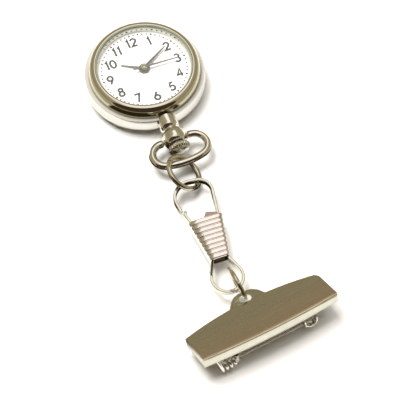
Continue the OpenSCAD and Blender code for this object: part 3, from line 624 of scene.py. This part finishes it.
def make_back():
    """Snap-on back with a pry notch at 12 o'clock."""
    def notch(r, z, a):
        x, y = r * math.cos(a), r * math.sin(a)
        return r, 0.25 if abs(x) < 1.5 and y > 10.75 and z < 0.25 else z

    back = rounded([(0, 0.1, 0), (7.6, 0.1, 0.2), (7.75, 0.02, 0.1), (8.2, 0.02, 0.1), (8.35, 0.1, 0.2),
                    (10.2, 0.1, 0.2), (10.5, 0, 0.3), (10.85, 0, 0.3), (BACK_R, 0.32, 0.2), (BACK_R, 0.78, 0),
                    (10.8, 0.8, 0), (10.8, 1.8, 0.1), (10.4, 1.8, 0.1), (10.4, 0.8, 0), (0, 0.8, 0)],
                   False, 3)
    piece("case_back_shell", "watch", LOOKS["back"], [turned(back, 256, notch)], ["case_back"])


def make_bezel():
    """Domed ring; its crown is a quarter of a superellipse."""
    flat_r, root_z, full = 11.25, 4.3, 0.86
    top = [(flat_r + (BEZEL_R - flat_r) * x**full, root_z + (HEAD_H - root_z) * y**full)
           for x, y in arc((0, 0), 1, 8, 88, 4)]
    profile = [(10.5, DIAL_Z + 0.02), (10.95, DIAL_Z + 0.02), (10.95, SEAM_Z + 0.01), (12.8, SEAM_Z + 0.01),
               (BEZEL_R - 0.05, SEAM_Z + 0.04), *top, (11.2, HEAD_H), (11.1, HEAD_H - 0.03),
               (OPENING_R, HEAD_H - 0.12), (OPENING_R, HEAD_H - 0.7), (10.62, HEAD_H - 0.7)]
    piece("bezel_ring", "watch", LOOKS["bezel"], [turned(profile, 256)], ["bezel"])


def make_dial():
    """Glass and the white disc under it."""
    glass = rounded([(0, 6.95, 0), (10.88, 6.95, 0.05), (10.88, 7.37, 0.08), (10.76, 7.49, 0.08),
                     (0, 7.49, 0)], False, 3)
    piece("crystal_pane", "watch", CRYSTAL, [turned(glass, 192)], ["crystal"])

    disc = rounded([(1.1, DIAL_Z - 0.4, 0), (DIAL_R, DIAL_Z - 0.4, 0), (DIAL_R, DIAL_Z, 0.05),
                    (1.1, DIAL_Z, 0.04)], True, 2)
    piece("dial_plate", "watch", LOOKS["dial"], [turned(disc, 192)], ["dial"])


def digit(figure):
    """Strokes of a figure in a box one high: a plain geometric face."""
    strokes = {
        "0": [[(0.31 + 0.27 * math.cos(a), 0.5 + 0.46 * math.sin(a))
               for a in [TAU * i / 32 for i in range(33)]]],
        "1": [[(0.1, 0.8), (0.27, 0.97), (0.27, 0)]],
        "2": [arc((0.3, 0.7), 0.26, 168, -38, 12) + [(0.06, 0.04), (0.6, 0.04)]],
        "3": [arc((0.27, 0.735), 0.225, 150, -70, 12), arc((0.27, 0.275), 0.255, 70, -155, 12)],
        "4": [[(0.44, 0), (0.44, 0.96), (0.03, 0.27), (0.6, 0.27)]],
        "5": [[(0.52, 0.95), (0.2, 0.95), (0.12, 0.53)] + arc((0.28, 0.31), 0.28, 112, -150, 12)],
        "6": [[(0.42, 0.98), (0.08, 0.42)], arc((0.31, 0.29), 0.27, 0, 360, 12)],
        "7": [[(0.03, 0.95), (0.56, 0.95), (0.2, 0)]],
        "8": [arc((0.3, 0.74), 0.205, 0, 360, 12), arc((0.3, 0.275), 0.26, 0, 360, 12)],
        "9": [[(0.2, 0.0), (0.54, 0.56)], arc((0.31, 0.69), 0.27, 0, 360, 12)],
    }
    return strokes[figure]


def make_print():
    """Minute dots and upright figures, as a thin layer of ink on the dial."""
    solids = []
    for i in range(60):
        a = math.radians(6 * i)
        at = (TRACK_R * math.sin(a), TRACK_R * math.cos(a))
        r = HOUR_DOT if i % 5 == 0 else MINUTE_DOT
        solids.append(slab(arc(at, r, 0, 345, 15), DIAL_Z, DIAL_Z + INK, 0))
    piece("dial_minute_dots", "watch", LOOKS["print"], solids)
    solids = []
    for hour in range(1, 13):
        text = str(hour)
        a = math.radians(30 * hour)
        widths = [NARROW_ADVANCE.get(c, GLYPH_ADVANCE) for c in text]
        middle = NUDGE.get(hour, 0) + NUMERAL_SPREAD * NUMERAL_R * math.sin(a)
        x = middle - NUMERAL_H * (sum(widths) - 0.1) / 2
        y = NUMERAL_R * math.cos(a) - NUMERAL_H / 2
        for c, wide in zip(text, widths):
            for stroke in digit(c):
                line = [(x + NUMERAL_H * p, y + NUMERAL_H * q) for p, q in stroke]
                outline = offset(line, -STROKE / 2, False) + offset(line, STROKE / 2, False)[::-1]
                solids.append(slab(outline, DIAL_Z, DIAL_Z + INK, 0))
            x += NUMERAL_H * wide
    piece("dial_figures", "watch", LOOKS["print"], solids)


def hand_solid(z, at, length, tail, width, tip, thick, ridge):
    """A tapered hand with a ridge along its middle."""
    half, point = width / 2, tip / 2
    rim = [(-half, 0.6), (-half * 0.55, -tail), (half * 0.55, -tail), (half, 0.6), (point, length - point),
           (0, length), (-point, length - point)]
    verts = [(x, y, z) for x, y in rim] + [(x, y, z + thick * 0.4) for x, y in rim]
    n = len(rim)
    verts += [(0, -tail, z + thick), (0, 0.6, z + thick + ridge), (0, length - tip, z + thick)]
    faces = [tuple(range(n)), *[(k, (k + 1) % n, n + (k + 1) % n, n + k) for k in range(n)]]
    low, mid, high = 2 * n, 2 * n + 1, 2 * n + 2
    faces += [(n, n + 1, low, mid), (n + 1, n + 2, low), (n + 2, n + 3, mid, low),
              (n + 3, n + 4, high, mid), (n + 4, n + 5, high), (n + 5, n + 6, high), (n + 6, n, mid, high)]
    return moved((verts, faces), Matrix.Rotation(math.radians(-at), 4, "Z"))


def hub(radius, hole, low, high, edge):
    """A low boss with a hole and softened rims."""
    return turned(rounded([(hole, low, 0.02), (radius, low, edge), (radius, high, edge),
                           (hole, high, 0.02)]), 64)


def make_hands():
    """Hour, minute and second hand with their hubs."""
    piece("hour_hand_steel", "hour", LOOKS["hand"],
          [hand_solid(HOUR_Z, HOUR_AT, length=5.5, tail=1.1, width=0.75, tip=0.28, thick=0.1, ridge=0.1)],
          ["hour_hand"], 12)
    piece("hour_hub", "hour", LOOKS["hub_low"], [hub(1.28, 0.6, HOUR_Z - 0.02, HOUR_Z + 0.22, 0.16)])
    piece("minute_hand_steel", "minute", LOOKS["hand"],
          [hand_solid(MINUTE_Z, MINUTE_AT, length=7.6, tail=1.2, width=0.8, tip=0.3, thick=0.1, ridge=0.16)],
          ["minute_hand"], 12)
    piece("minute_hub", "minute", LOOKS["hub_mid"],
          [hub(0.92, 0.3, MINUTE_Z - 0.02, MINUTE_Z + 0.24, 0.18)])
    piece("second_hand_steel", "second", LOOKS["second"],
          [hand_solid(SECOND_Z, SECOND_AT, length=8.2, tail=2.6, width=0.5, tip=0.3, thick=0.12, ridge=0.05)],
          ["second_hand"], 12)
    cap = [(0, -0.02), (0.62, -0.02), (0.68, 0.03), (0.66, 0.1), (0.55, 0.2), (0.38, 0.28), (0.18, 0.325),
           (0, 0.335)]
    piece("second_cap", "second", LOOKS["cap"], [turned([(r, SECOND_Z + z) for r, z in cap], 64)])


# ---------------------------------------------------------------- pendant, bow and rings


def make_pendant():
    """Neck on the case and the two collars of the bow."""
    neck = spline([(2.4, 13.0), (2.36, 13.8), (2.3, 14.6), (2.28, 15.15), (2.1, 15.6), (1.8, 15.9),
                   (1.74, 16.2), (1.86, 16.5), (2.25, 16.75), (2.58, 17.15), (2.73, 17.75), (2.75, 18.4),
                   (2.72, 19.0), (2.5, 19.6), (2.15, 19.9)], 6)
    profile = [(0.45, 10.9), (1.15, 10.9), (1.15, 13.0), *neck, (1.9, 19.95), (0.45, 19.95)]
    solid = moved(turned(profile, 96), ON_PENDANT)
    piece("pendant_neck", "watch", LOOKS["nickel"], [solid], ["pendant"])
    collars = []
    for side in (-1, 1):
        collar = turned(rounded([(0.46, 0, 0.04), (0.95, 0, 0.1), (0.8, 0.42, 0.12),
                                 (0.46, 0.42, 0.04)]), 40)
        at = (Matrix.Translation((side * 2.3, -BOW_PIVOT, PENDANT_Z))
              @ Matrix.Rotation(math.radians(90 * side), 4, "Y"))
        collars.append(moved(collar, at))
    piece("pendant_collars", "watch", LOOKS["nickel"], collars)


def make_crown():
    """Fluted knob at the end of the neck."""
    def flute(r, z, a):
        depth = 0.17 * max(0.0, min(1.0, (r - 1.7) / 0.5)) * (0.5 + 0.5 * math.cos(FLUTES * a)) ** 1.5
        return r - depth, z

    crown = rounded([(0.45, 0.2, 0.02), (1.65, 0, 0.05), (1.7, 0.2, 0), (1.95, 0.2, 0.1), (2.45, 0.6, 0.2),
                     (2.55, 1.0, 0.3), (2.45, 1.35, 0.2), (2.1, 1.65, 0.25), (1.6, 1.88, 0.3),
                     (0.9, 2.01, 0.3), (0.0, 2.05, 0)], False, 3)
    crown = [(0, 1.25), (0.45, 1.25)] + crown
    piece("crown_knob", "crown", LOOKS["crown"],
          [moved(turned([(r, z + CROWN_FROM) for r, z in crown], FLUTES * 16, flute), ON_PENDANT)], ["crown"])


def make_bow():
    """Stirrup of wire that thins where it enters the collars."""
    left = arc((-LOBE_X, -LOBE_Y), LOBE_R, 90, 270 - FRONT_HALF, 5)
    front = arc((0, -FRONT_Y), FRONT_R, 270 - FRONT_HALF, 270 + FRONT_HALF, 2)
    right = arc((LOBE_X, -LOBE_Y), LOBE_R, FRONT_HALF - 90, 90, 5)
    ends = [(-1.75, 0.42), (-2.3, 0.42), (-2.8, 0.42), (-2.9, 0.6), (-3.0, 0.76), (-3.15, 0.84)]
    path = [(x, -BOW_PIVOT) for x, _ in ends] + left + front[1:-1] + right
    path += [(-x, -BOW_PIVOT) for x, _ in ends[::-1]]
    radii = [r for _, r in ends]
    radii = radii + [BOW_WIRE] * (len(path) - 2 * len(ends)) + radii[::-1]
    piece("bow_wire", "bow", LOOKS["nickel"],
          [wire([(x, y, PENDANT_Z) for x, y in path], radii, 36)], ["bow"], 40)


def make_ring(name, centre, lean, direction, radius, thick, start):
    """A jump ring with a fine gap, leaning about Y and then turned about Z."""
    gap = 1.8
    frame_of_ring = (Matrix.Translation(centre) @ Matrix.Rotation(math.radians(direction), 4, "Z")
                     @ Matrix.Rotation(math.radians(lean), 4, "Y"))
    path = [frame_of_ring @ Vector((x, y, 0)) for x, y in arc((0, 0), radius, start, start + 360 - gap, 3)]
    piece(f"{name}_ring_wire", f"{name}_ring", LOOKS["ring"], [wire(path, thick, 28)],
          [f"{name}_jump_ring"], 40)


def make_rings():
    make_ring("upper", (-1.45, -27.37, 3.15), lean=37.5, direction=-9.5, radius=4.1, thick=0.57, start=150)
    make_ring("lower", (-1.5, -56.95, 3.9), lean=80, direction=4.7, radius=3.48, thick=0.5, start=200)


# ---------------------------------------------------------------- clip


def polar(angle):
    """Direction a quarter turn behind the angle."""
    return Vector((math.sin(math.radians(angle)), -math.cos(math.radians(angle))))


def strip_path():
    """The strip's middle line: free end, hook, crest, shoulder, right leg, loop and tail in the sleeve."""
    hook = arc(HOOK_C, HOOK_R, HOOK_TO, HOOK_FROM, 3)
    ray = Vector((math.cos(math.radians(HOOK_FROM)), math.sin(math.radians(HOOK_FROM))))
    shoulder_c = Vector(HOOK_C) + ray * (HOOK_R - SHOULDER_R) + polar(HOOK_FROM) * CREST
    shoulder = arc(shoulder_c, SHOULDER_R, HOOK_FROM, SHOULDER_TO, 3)
    loop = arc(LOOP_C, LOOP_R, LOOP_RIGHT, LOOP_LEFT - 360, 3)
    low = Vector(loop[0]) - polar(LOOP_RIGHT) * NECK_LEN
    tail = Vector(loop[-1]) + polar(LOOP_LEFT) * NECK_LEN
    free = Vector(hook[0]) - polar(HOOK_TO) * FREE_LEN
    return [tuple(free), *hook, *shoulder, tuple(low), *loop, tuple(tail), (tail.x - 0.05, tail.y + TAIL_LEN)]


def sleeve_ring(share, grow, sides=72):
    """Points round the sleeve at a share of its length, grown on every side."""
    top, low = Vector(SLEEVE_TOP), Vector(SLEEVE_LOW)
    p, d = top.lerp(low, share), (low - top).normalized()
    w = (SLEEVE_TOP_SIZE[0] + (SLEEVE_LOW_SIZE[0] - SLEEVE_TOP_SIZE[0]) * share) / 2 + grow
    h = (SLEEVE_TOP_SIZE[1] + (SLEEVE_LOW_SIZE[1] - SLEEVE_TOP_SIZE[1]) * share) / 2 + grow
    out = []
    for i in range(sides):
        a = TAU * i / sides
        power = 0.2 if math.cos(a) > 0 else 0.56
        x = w * math.copysign(abs(math.cos(a)) ** power, math.cos(a))
        z = h * math.copysign(abs(math.sin(a)) ** power, math.sin(a))
        out.append((p.x - d.y * x, p.y + d.x * x, CLIP_Z + z))
    return out


def make_strip():
    """Bent strip with the hook, the legs and the loop."""
    piece("clip_strip_bent", "clip", LOOKS["clip"],
          [band(strip_path(), STRIP_T, STRIP_W, CLIP_Z)], ["clip_strip"], 40)


def make_sleeve():
    """Tapered sleeve; each rib is a flat crest between two halves of a groove."""
    groove, wall = 0.16, 0.3
    shape = [(0.0, -groove), (0.04, -groove), (0.09, -groove * 0.35), (0.13, -0.02), (0.2, 0), (0.5, 0.0),
             (0.8, 0), (0.87, -0.02), (0.91, -groove * 0.35), (0.96, -groove)]
    rings = [sleeve_ring((i + s) / RIBS, g) for i in range(RIBS) for s, g in shape]
    rings += [sleeve_ring(1, -groove), sleeve_ring(1, -groove - wall), sleeve_ring(0, -groove - wall)]
    piece("clip_sleeve_ribbed", "clip", LOOKS["sleeve"],
          [loft(rings, True)], ["clip_sleeve"], 50)


def make_tongue():
    """Dull plate that shows at the mouth of the sleeve."""
    base, thick = CLIP_Z + STRIP_W / 2 + 0.05, 0.32
    tongue = [(-2.8, -42.5), (0.8, -42.5), (1.3, -40.4), (1.35, -39.6), (1.15, -39.35), (-0.9, -38.55),
              (-1.15, -38.7), (-2, -39.85)]
    outline = rounded([(x, y, 0.15) for x, y in tongue], steps=4)
    piece("clip_tongue_plate", "clip", LOOKS["tongue"],
          [slab(outline, base, base + thick, 0.06)], ["clip_tongue"])


def make_gate():
    """Sprung strip that closes the hook, its knuckle and its rivet."""
    path = spline([(-5.27, -37.25), (-5.05, -36.9), (-4.93, -36.55)], 4)
    start = Vector(GATE_PIN) + (Vector(path[0]) - Vector(GATE_PIN)).normalized() * 0.55
    half = STRIP_W / 2
    knuckle = turned(rounded([(0.4, -half, 0.03), (0.75, -half, 0.08), (0.75, half, 0.08),
                              (0.4, half, 0.03)]), 40)
    at_pin = Matrix.Translation((*GATE_PIN, CLIP_Z))
    piece("gate_strip", "gate", LOOKS["clip"],
          [band([tuple(start), *path], STRIP_T, STRIP_W, CLIP_Z), moved(knuckle, at_pin)],
          ["clip_gate"], 40)
    top = SLEEVE_TOP_SIZE[1] / 2 - 0.1
    rivet = [(0, -top), (0.25, -top + 0.02), (0.33, -top + 0.1), (0.33, top - 0.1), (0.25, top - 0.02),
             (0, top)]
    piece("gate_rivet_pin", "clip", LOOKS["clip"], [moved(turned(rivet, 32), at_pin)],
          ["gate_rivet"])


# ---------------------------------------------------------------- brooch


def tab_outline():
    """The tab's sides from its right root to its left one."""
    right, left = TAB_U + TAB_ROOT, TAB_U - TAB_ROOT - 0.3
    points = [(right, 8.7, 0.3), (TAB_U + TAB_TOP + 1, TAB_V - 1.2, 1.2),
              (TAB_U + TAB_TOP, TAB_V - 0.35, 0.8),
              (TAB_U + TAB_TOP - 0.9, TAB_V, 1.5), (TAB_U - TAB_TOP + 0.9, TAB_V, 1.5),
              (TAB_U - TAB_TOP, TAB_V - 0.35, 0.8), (TAB_U - TAB_TOP - 1, TAB_V - 1.2, 1.2), (left, 8.9, 0.3)]
    return rounded(points, False, 5)


def make_bar():
    """Top plate with its tab and hole, and the skirt under its rim."""
    front, corner, back = bar_outline(0)
    tab = tab_outline()
    right = [p for p in back if p[0] > tab[0][0] + 0.3]
    left = [p for p in back if p[0] < tab[-1][0] - 0.3]
    ends = [(x, BACK_V - BACK_R_BAR + math.sqrt(BACK_R_BAR**2 - (x - BACK_MID) ** 2))
            for x in (tab[0][0], tab[-1][0])]
    outline = front + corner + right + [ends[0]] + tab[1:-1] + [ends[1]] + left
    hole = arc(HOLE_AT, HOLE_R, 360, 10, 10)
    piece("bar_plate", "brooch", LOOKS["bar"],
          [moved(slab(outline, -SHEET_T, 0, 0.16, [hole], 5, 0), ON_BAR)], ["brooch_bar"], 40)

    def loop(g):
        return [p for part in bar_outline(g) for p in part]

    levels = [(0.02, -0.3), (0.0, -0.34), (0, -SKIRT_H + 0.1), (0.03, -SKIRT_H + 0.03), (0.1, -SKIRT_H),
              (0.4, -SKIRT_H), (0.47, -SKIRT_H + 0.03), (SHEET_T, -SKIRT_H + 0.1), (SHEET_T, -0.3)]
    rings = [[(*p, w) for p in loop(g)] for g, w in levels]
    piece("bar_skirt", "brooch", LOOKS["skirt"], [moved(loft(rings, True), ON_BAR)], (), 40)


def box(low, high, edge):
    """A block between two corners with softened rims."""
    (x0, y0, z0), (x1, y1, z1) = low, high
    return slab([(x0, y0), (x1, y0), (x1, y1), (x0, y1)], z0, z1, edge)


def make_bracket():
    """Pad with a leaf and two ears that hold the pin, and the rivet through them."""
    gap = KNUCKLE_HALF + EAR_GAP
    low, high = PIN_W - gap - EAR_T, PIN_W + gap + EAR_T
    ear = [(HINGE_U - KNUCKLE_R, PIN_V + 1.0), *arc((HINGE_U, PIN_V), KNUCKLE_R, 180, 360, 15),
           (HINGE_U + KNUCKLE_R, PIN_V + 1.0)]
    parts = [box((LEG_U - 0.4, 0.4, ROOF_W), (LEG_U + 6.2, 3.8, -SHEET_T), 0.1),
             box((HINGE_U - 0.8, PIN_V + 0.9, low), (HINGE_U + 0.8, PIN_V + 1.25, -SHEET_T), 0.08)]
    parts += [slab(ear, w, w + EAR_T, 0.06) for w in (low, PIN_W + gap)]
    piece("pin_bracket_plate", "brooch", LOOKS["fitting"],
          [moved(s, ON_BAR) for s in parts], ["pin_bracket"])
    core, head = 0.294, 0.3332
    rivet = [(0, low), (core, low), (head, low + 0.05), (core, low + 0.1), (core, high - 0.05), (head, high),
             (core, high), (0, high)]
    piece("pin_rivet_head", "brooch", LOOKS["fitting"],
          [moved(turned(rivet, 32), ON_BAR @ Matrix.Translation((HINGE_U, PIN_V, 0)))], ["pin_rivet"])


def make_coil():
    """Wire leg from the bracket's pad and the turns of the spring."""
    u, _, w = COIL_AT
    leg = spline([(LEG_U, PIN_V + 0.2, ROOF_W - 0.05), (LEG_U + 0.35, PIN_V - 0.1, -2.3),
                  (u - 0.3, PIN_V - 0.7, -4.2), (u, PIN_V - COIL_R, w)], 8)
    turns, per_turn, pitch = [], 48, 1
    for i in range(1, COIL_TURNS * per_turn + 1):
        a = TAU * i / per_turn - math.pi / 2
        turns.append((u + pitch * i / per_turn, PIN_V + COIL_R * math.sin(a), w - COIL_R * math.cos(a)))
    piece("pin_coil_wire", "brooch", LOOKS["fitting"],
          [moved(wire(leg + turns, COIL_WIRE, 20), ON_BAR)], ["pin_coil"], 40)


def make_pin():
    """Pointed pin with the eye that turns on the rivet."""
    at_hinge = ON_BAR @ Matrix.Translation((HINGE_U, PIN_V, PIN_W))
    eye = turned(rounded([(0.36, -KNUCKLE_HALF, 0.03), (KNUCKLE_R, -KNUCKLE_HALF, 0.08),
                          (KNUCKLE_R, KNUCKLE_HALF, 0.08), (0.36, KNUCKLE_HALF, 0.03)]), 40)
    reach = PIN_END - HINGE_U
    shaft = [(0, 0.45), (0.22, 0.46), (PIN_R, 0.55), (PIN_R, reach - 2.05), (0.2, reach - 0.75),
             (0.08, reach - 0.05), (0, reach)]
    piece("pin_shaft", "pin", LOOKS["pin"],
          [moved(turned(shaft, 32), at_hinge @ Matrix.Rotation(math.radians(90), 4, "Y")),
           moved(eye, at_hinge)], ["brooch_pin"])


def make_catch():
    """A strap bent into a U under the bar; its left leg is cut back at the front for the pin."""
    arc_w = CATCH_LOW + CATCH_HALF
    mid = CATCH_HALF - CATCH_T / 2
    upright = Matrix.Translation((CATCH_U, PIN_V, 0)) @ Matrix.Rotation(math.radians(90), 4, "X")
    right = [*arc((0, arc_w), mid, 200, 360, 8), (mid, ROOF_W)]
    left = [(-mid, PIN_W + 0.45), (-mid, ROOF_W)]
    parts = [band(right, CATCH_T, CATCH_W, 0, 0.1), band(left, CATCH_T, CATCH_W, 0, 0.1),
             band([(-mid, arc_w + 0.2), (-mid, ROOF_W)], CATCH_T, CATCH_W / 2, -CATCH_W / 4, 0.1),
             band([(-mid, PIN_W - 0.45), *arc((0, arc_w), mid, 180, 206, 8)], CATCH_T, CATCH_W, 0, 0.1)]
    foot = box((CATCH_U - 3, PIN_V - CATCH_W / 2 + 0.3, ROOF_W),
               (CATCH_U + 3, PIN_V + CATCH_W / 2 + 1.0, -SHEET_T), 0.1)
    piece("pin_catch_strap", "brooch", LOOKS["fitting"],
          [moved(p, ON_BAR @ upright) for p in parts] + [moved(foot, ON_BAR)], ["pin_catch"], 40)


# ---------------------------------------------------------------- movement and hidden pieces

HIDDEN_LOOKS = {
    "back_gasket": "rubber", "crystal_gasket": "gasket", "movement_holder": "holder", "main_plate": "brass",
    "train_bridge": "brass", "bridge_screws": "steel", "circuit_board": "board", "quartz_can": "can",
    "stator": "steel", "drive_coil": "copper", "battery": "can", "battery_clip": "brass", "rotor": "steel",
    "step_wheel": "brass", "second_arbor": "brass", "third_wheel": "brass", "centre_wheel": "brass",
    "minute_wheel": "brass", "hour_wheel": "brass", "winding_stem": "steel",
}


def finish_hidden():
    """Give the CAD nodes that stay in the picture their own looks."""
    for name, look in HIDDEN_LOOKS.items():
        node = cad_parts[name]
        node.data.materials.clear()
        node.data.materials.append(LOOKS[look])


# ---------------------------------------------------------------- stage, lights and camera


def stage_sheet(name, size, cells, z, look):
    """A flat square on the stage, size metres from its middle to each side."""
    bm = bmesh.new()
    bmesh.ops.create_grid(bm, x_segments=cells, y_segments=cells, size=size)
    mesh = bpy.data.meshes.new(name)
    bm.to_mesh(mesh)
    bm.free()
    mesh.materials.append(look.mat)
    sheet = bpy.data.objects.new(name, mesh)
    sheet.location.z = z
    bpy.context.scene.collection.objects.link(sheet)
    return sheet


def make_floor():
    """Plain pale paper, just under the object."""
    look = Look("floor_paper", (0.9, 0.9, 0.89), 0.0, 0.8)
    fine = look.noise(look.mapped((0.05, 0.05, 0.05)), 1.0, 2)
    look.to("Roughness", look.spread(fine, 0.3, 0.7, 0.75, 0.85))
    stage_sheet("floor", 1.5, 8, cad_box[0].z - 0.00002, look)


def make_card():
    """Studio card that only mirrors see: olive round the white paper, with a dark stand before the watch."""
    look = Look("card_olive", OLIVE, 0.0, 0.9, **{"Specular IOR Level": 0.0})

    def reach(centre=(0, 0), size=(1, 1)):
        """Distance from a centre, in ellipses of this size in millimetres."""
        node = look.nodes.new("ShaderNodeMapping")
        node.vector_type = "TEXTURE"
        look.links.new(look.place, node.inputs["Vector"])
        node.inputs["Location"].default_value = (centre[0] * MM, centre[1] * MM, 0)
        node.inputs["Scale"].default_value = (size[0] * MM, size[1] * MM, 1)
        return look.vector("LENGTH", node.outputs["Vector"])

    brooch = look.smooth(reach((0, -80), (24, 20)), 0.9, 1.2)
    chain = look.smooth(reach((-3, -48), (11, 14)), 0.85, 1.15)
    knob = look.smooth(reach((2, -21), (4, 3.5)), 0.8, 1.2)
    paper = look.combine("MULTIPLY", chain, knob, brooch)
    olive = look.combine("MULTIPLY", look.smooth(reach(), 25, 32), paper)
    heading = look.vector("NORMALIZE", look.vector("MULTIPLY", look.place, (1, 1, 0)))
    sector = look.smooth(look.vector("DOT_PRODUCT", heading, STAND_WAY), 0.62, 0.70)
    dark = look.combine("MULTIPLY", sector, look.smooth(reach(), 95, 70), look.smooth(reach(), 18.0, 19.2),
                        paper)
    look.to("Alpha", look.combine("MAXIMUM", olive, dark))
    look.to("Base Color", look.ramp(dark, [(0.3, OLIVE), (0.7, DARK)]))
    card = stage_sheet("card", 0.6, 2, cad_box[0].z, look)
    card.visible_camera = card.visible_diffuse = card.visible_shadow = card.visible_transmission = False


def area_light(name, direction, distance, size, power, colour=(1, 1, 1)):
    """A square soft box that looks at the object from a direction (azimuth, elevation) in degrees."""
    azimuth, elevation = (math.radians(v) for v in direction)
    way = Vector((math.sin(azimuth) * math.cos(elevation), math.cos(azimuth) * math.cos(elevation),
                  math.sin(elevation)))
    light = bpy.data.lights.new(name, "AREA")
    light.shape, light.size = "SQUARE", size
    light.energy, light.color = power, colour
    obj = bpy.data.objects.new(name, light)
    obj.location = (cad_box[0] + cad_box[1]) / 2 + way * distance
    obj.rotation_euler = (-way).to_track_quat("-Z", "Y").to_euler()
    obj.visible_glossy = False
    bpy.context.scene.collection.objects.link(obj)


def make_world():
    """Studio: a white table, olive walls, a white ceiling, a dark stand and a brighter soft box."""
    world = bpy.data.worlds.new("studio")
    bpy.context.scene.world = world
    tree = Tree(world, "Generated")
    split = tree.nodes.new("ShaderNodeSeparateXYZ")
    tree.links.new(tree.place, split.inputs["Vector"])
    walls = tree.ramp(tree.spread(split.outputs["Z"], -1, 1, 0, 1), [
        (0.0, (1, 1, 0.98)), (0.497, (1, 0.99, 0.96)), (0.505, (0.42, 0.38, 0.27)),
        (0.60, (0.34, 0.29, 0.19)), (0.80, (0.31, 0.275, 0.185)), (0.95, (0.42, 0.38, 0.28)),
        (0.985, (1.0, 0.96, 0.94)), (1.0, (1, 0.97, 0.96))])
    patches = [((-0.36, -0.865, 0.42), 0.60, 0.63, (0.05, 0.034, 0.02)),
               ((0.152, 0.367, 0.918), 0.955, 0.975, (1.15, 1.06, 1.02))]
    for way, edge, full, colour in patches:
        near = tree.vector("DOT_PRODUCT", tree.place, Vector(way).normalized())
        walls = tree.mix(tree.smooth(near, edge, full), walls, colour)
    tree.links.new(walls, tree.nodes["Background"].inputs["Color"])


def make_camera():
    """A long lens 0.3 m from the watch, about 61 degrees above the table."""
    cam = bpy.data.cameras.new("camera")
    cam.lens, cam.sensor_width = LENS, SENSOR
    cam.clip_start, cam.clip_end = 0.01, 10
    obj = bpy.data.objects.new("camera", cam)
    right, up = Vector(CAMERA_RIGHT), Vector(CAMERA_UP)
    turn = Matrix((right, up, right.cross(up))).transposed().to_4x4()
    obj.matrix_world = Matrix.Translation(Vector(CAMERA_AT) * MM) @ turn
    bpy.context.scene.collection.objects.link(obj)
    bpy.context.scene.camera = obj


make_camera()
make_world()
make_floor()
make_card()
area_light("key", direction=(-26, 62), distance=0.6, size=0.34, power=5.2, colour=(1, 0.985, 0.965))
area_light("fill", direction=(60, 55), distance=0.7, size=0.5, power=1.6)
bpy.context.scene.view_settings.view_transform = "Standard"

for make in (make_case, make_back, make_bezel, make_dial, make_print, make_hands, make_pendant, make_crown,
             make_bow, make_rings, make_strip, make_sleeve, make_tongue, make_gate, make_bar, make_bracket,
             make_coil, make_pin, make_catch, finish_hidden):
    make()
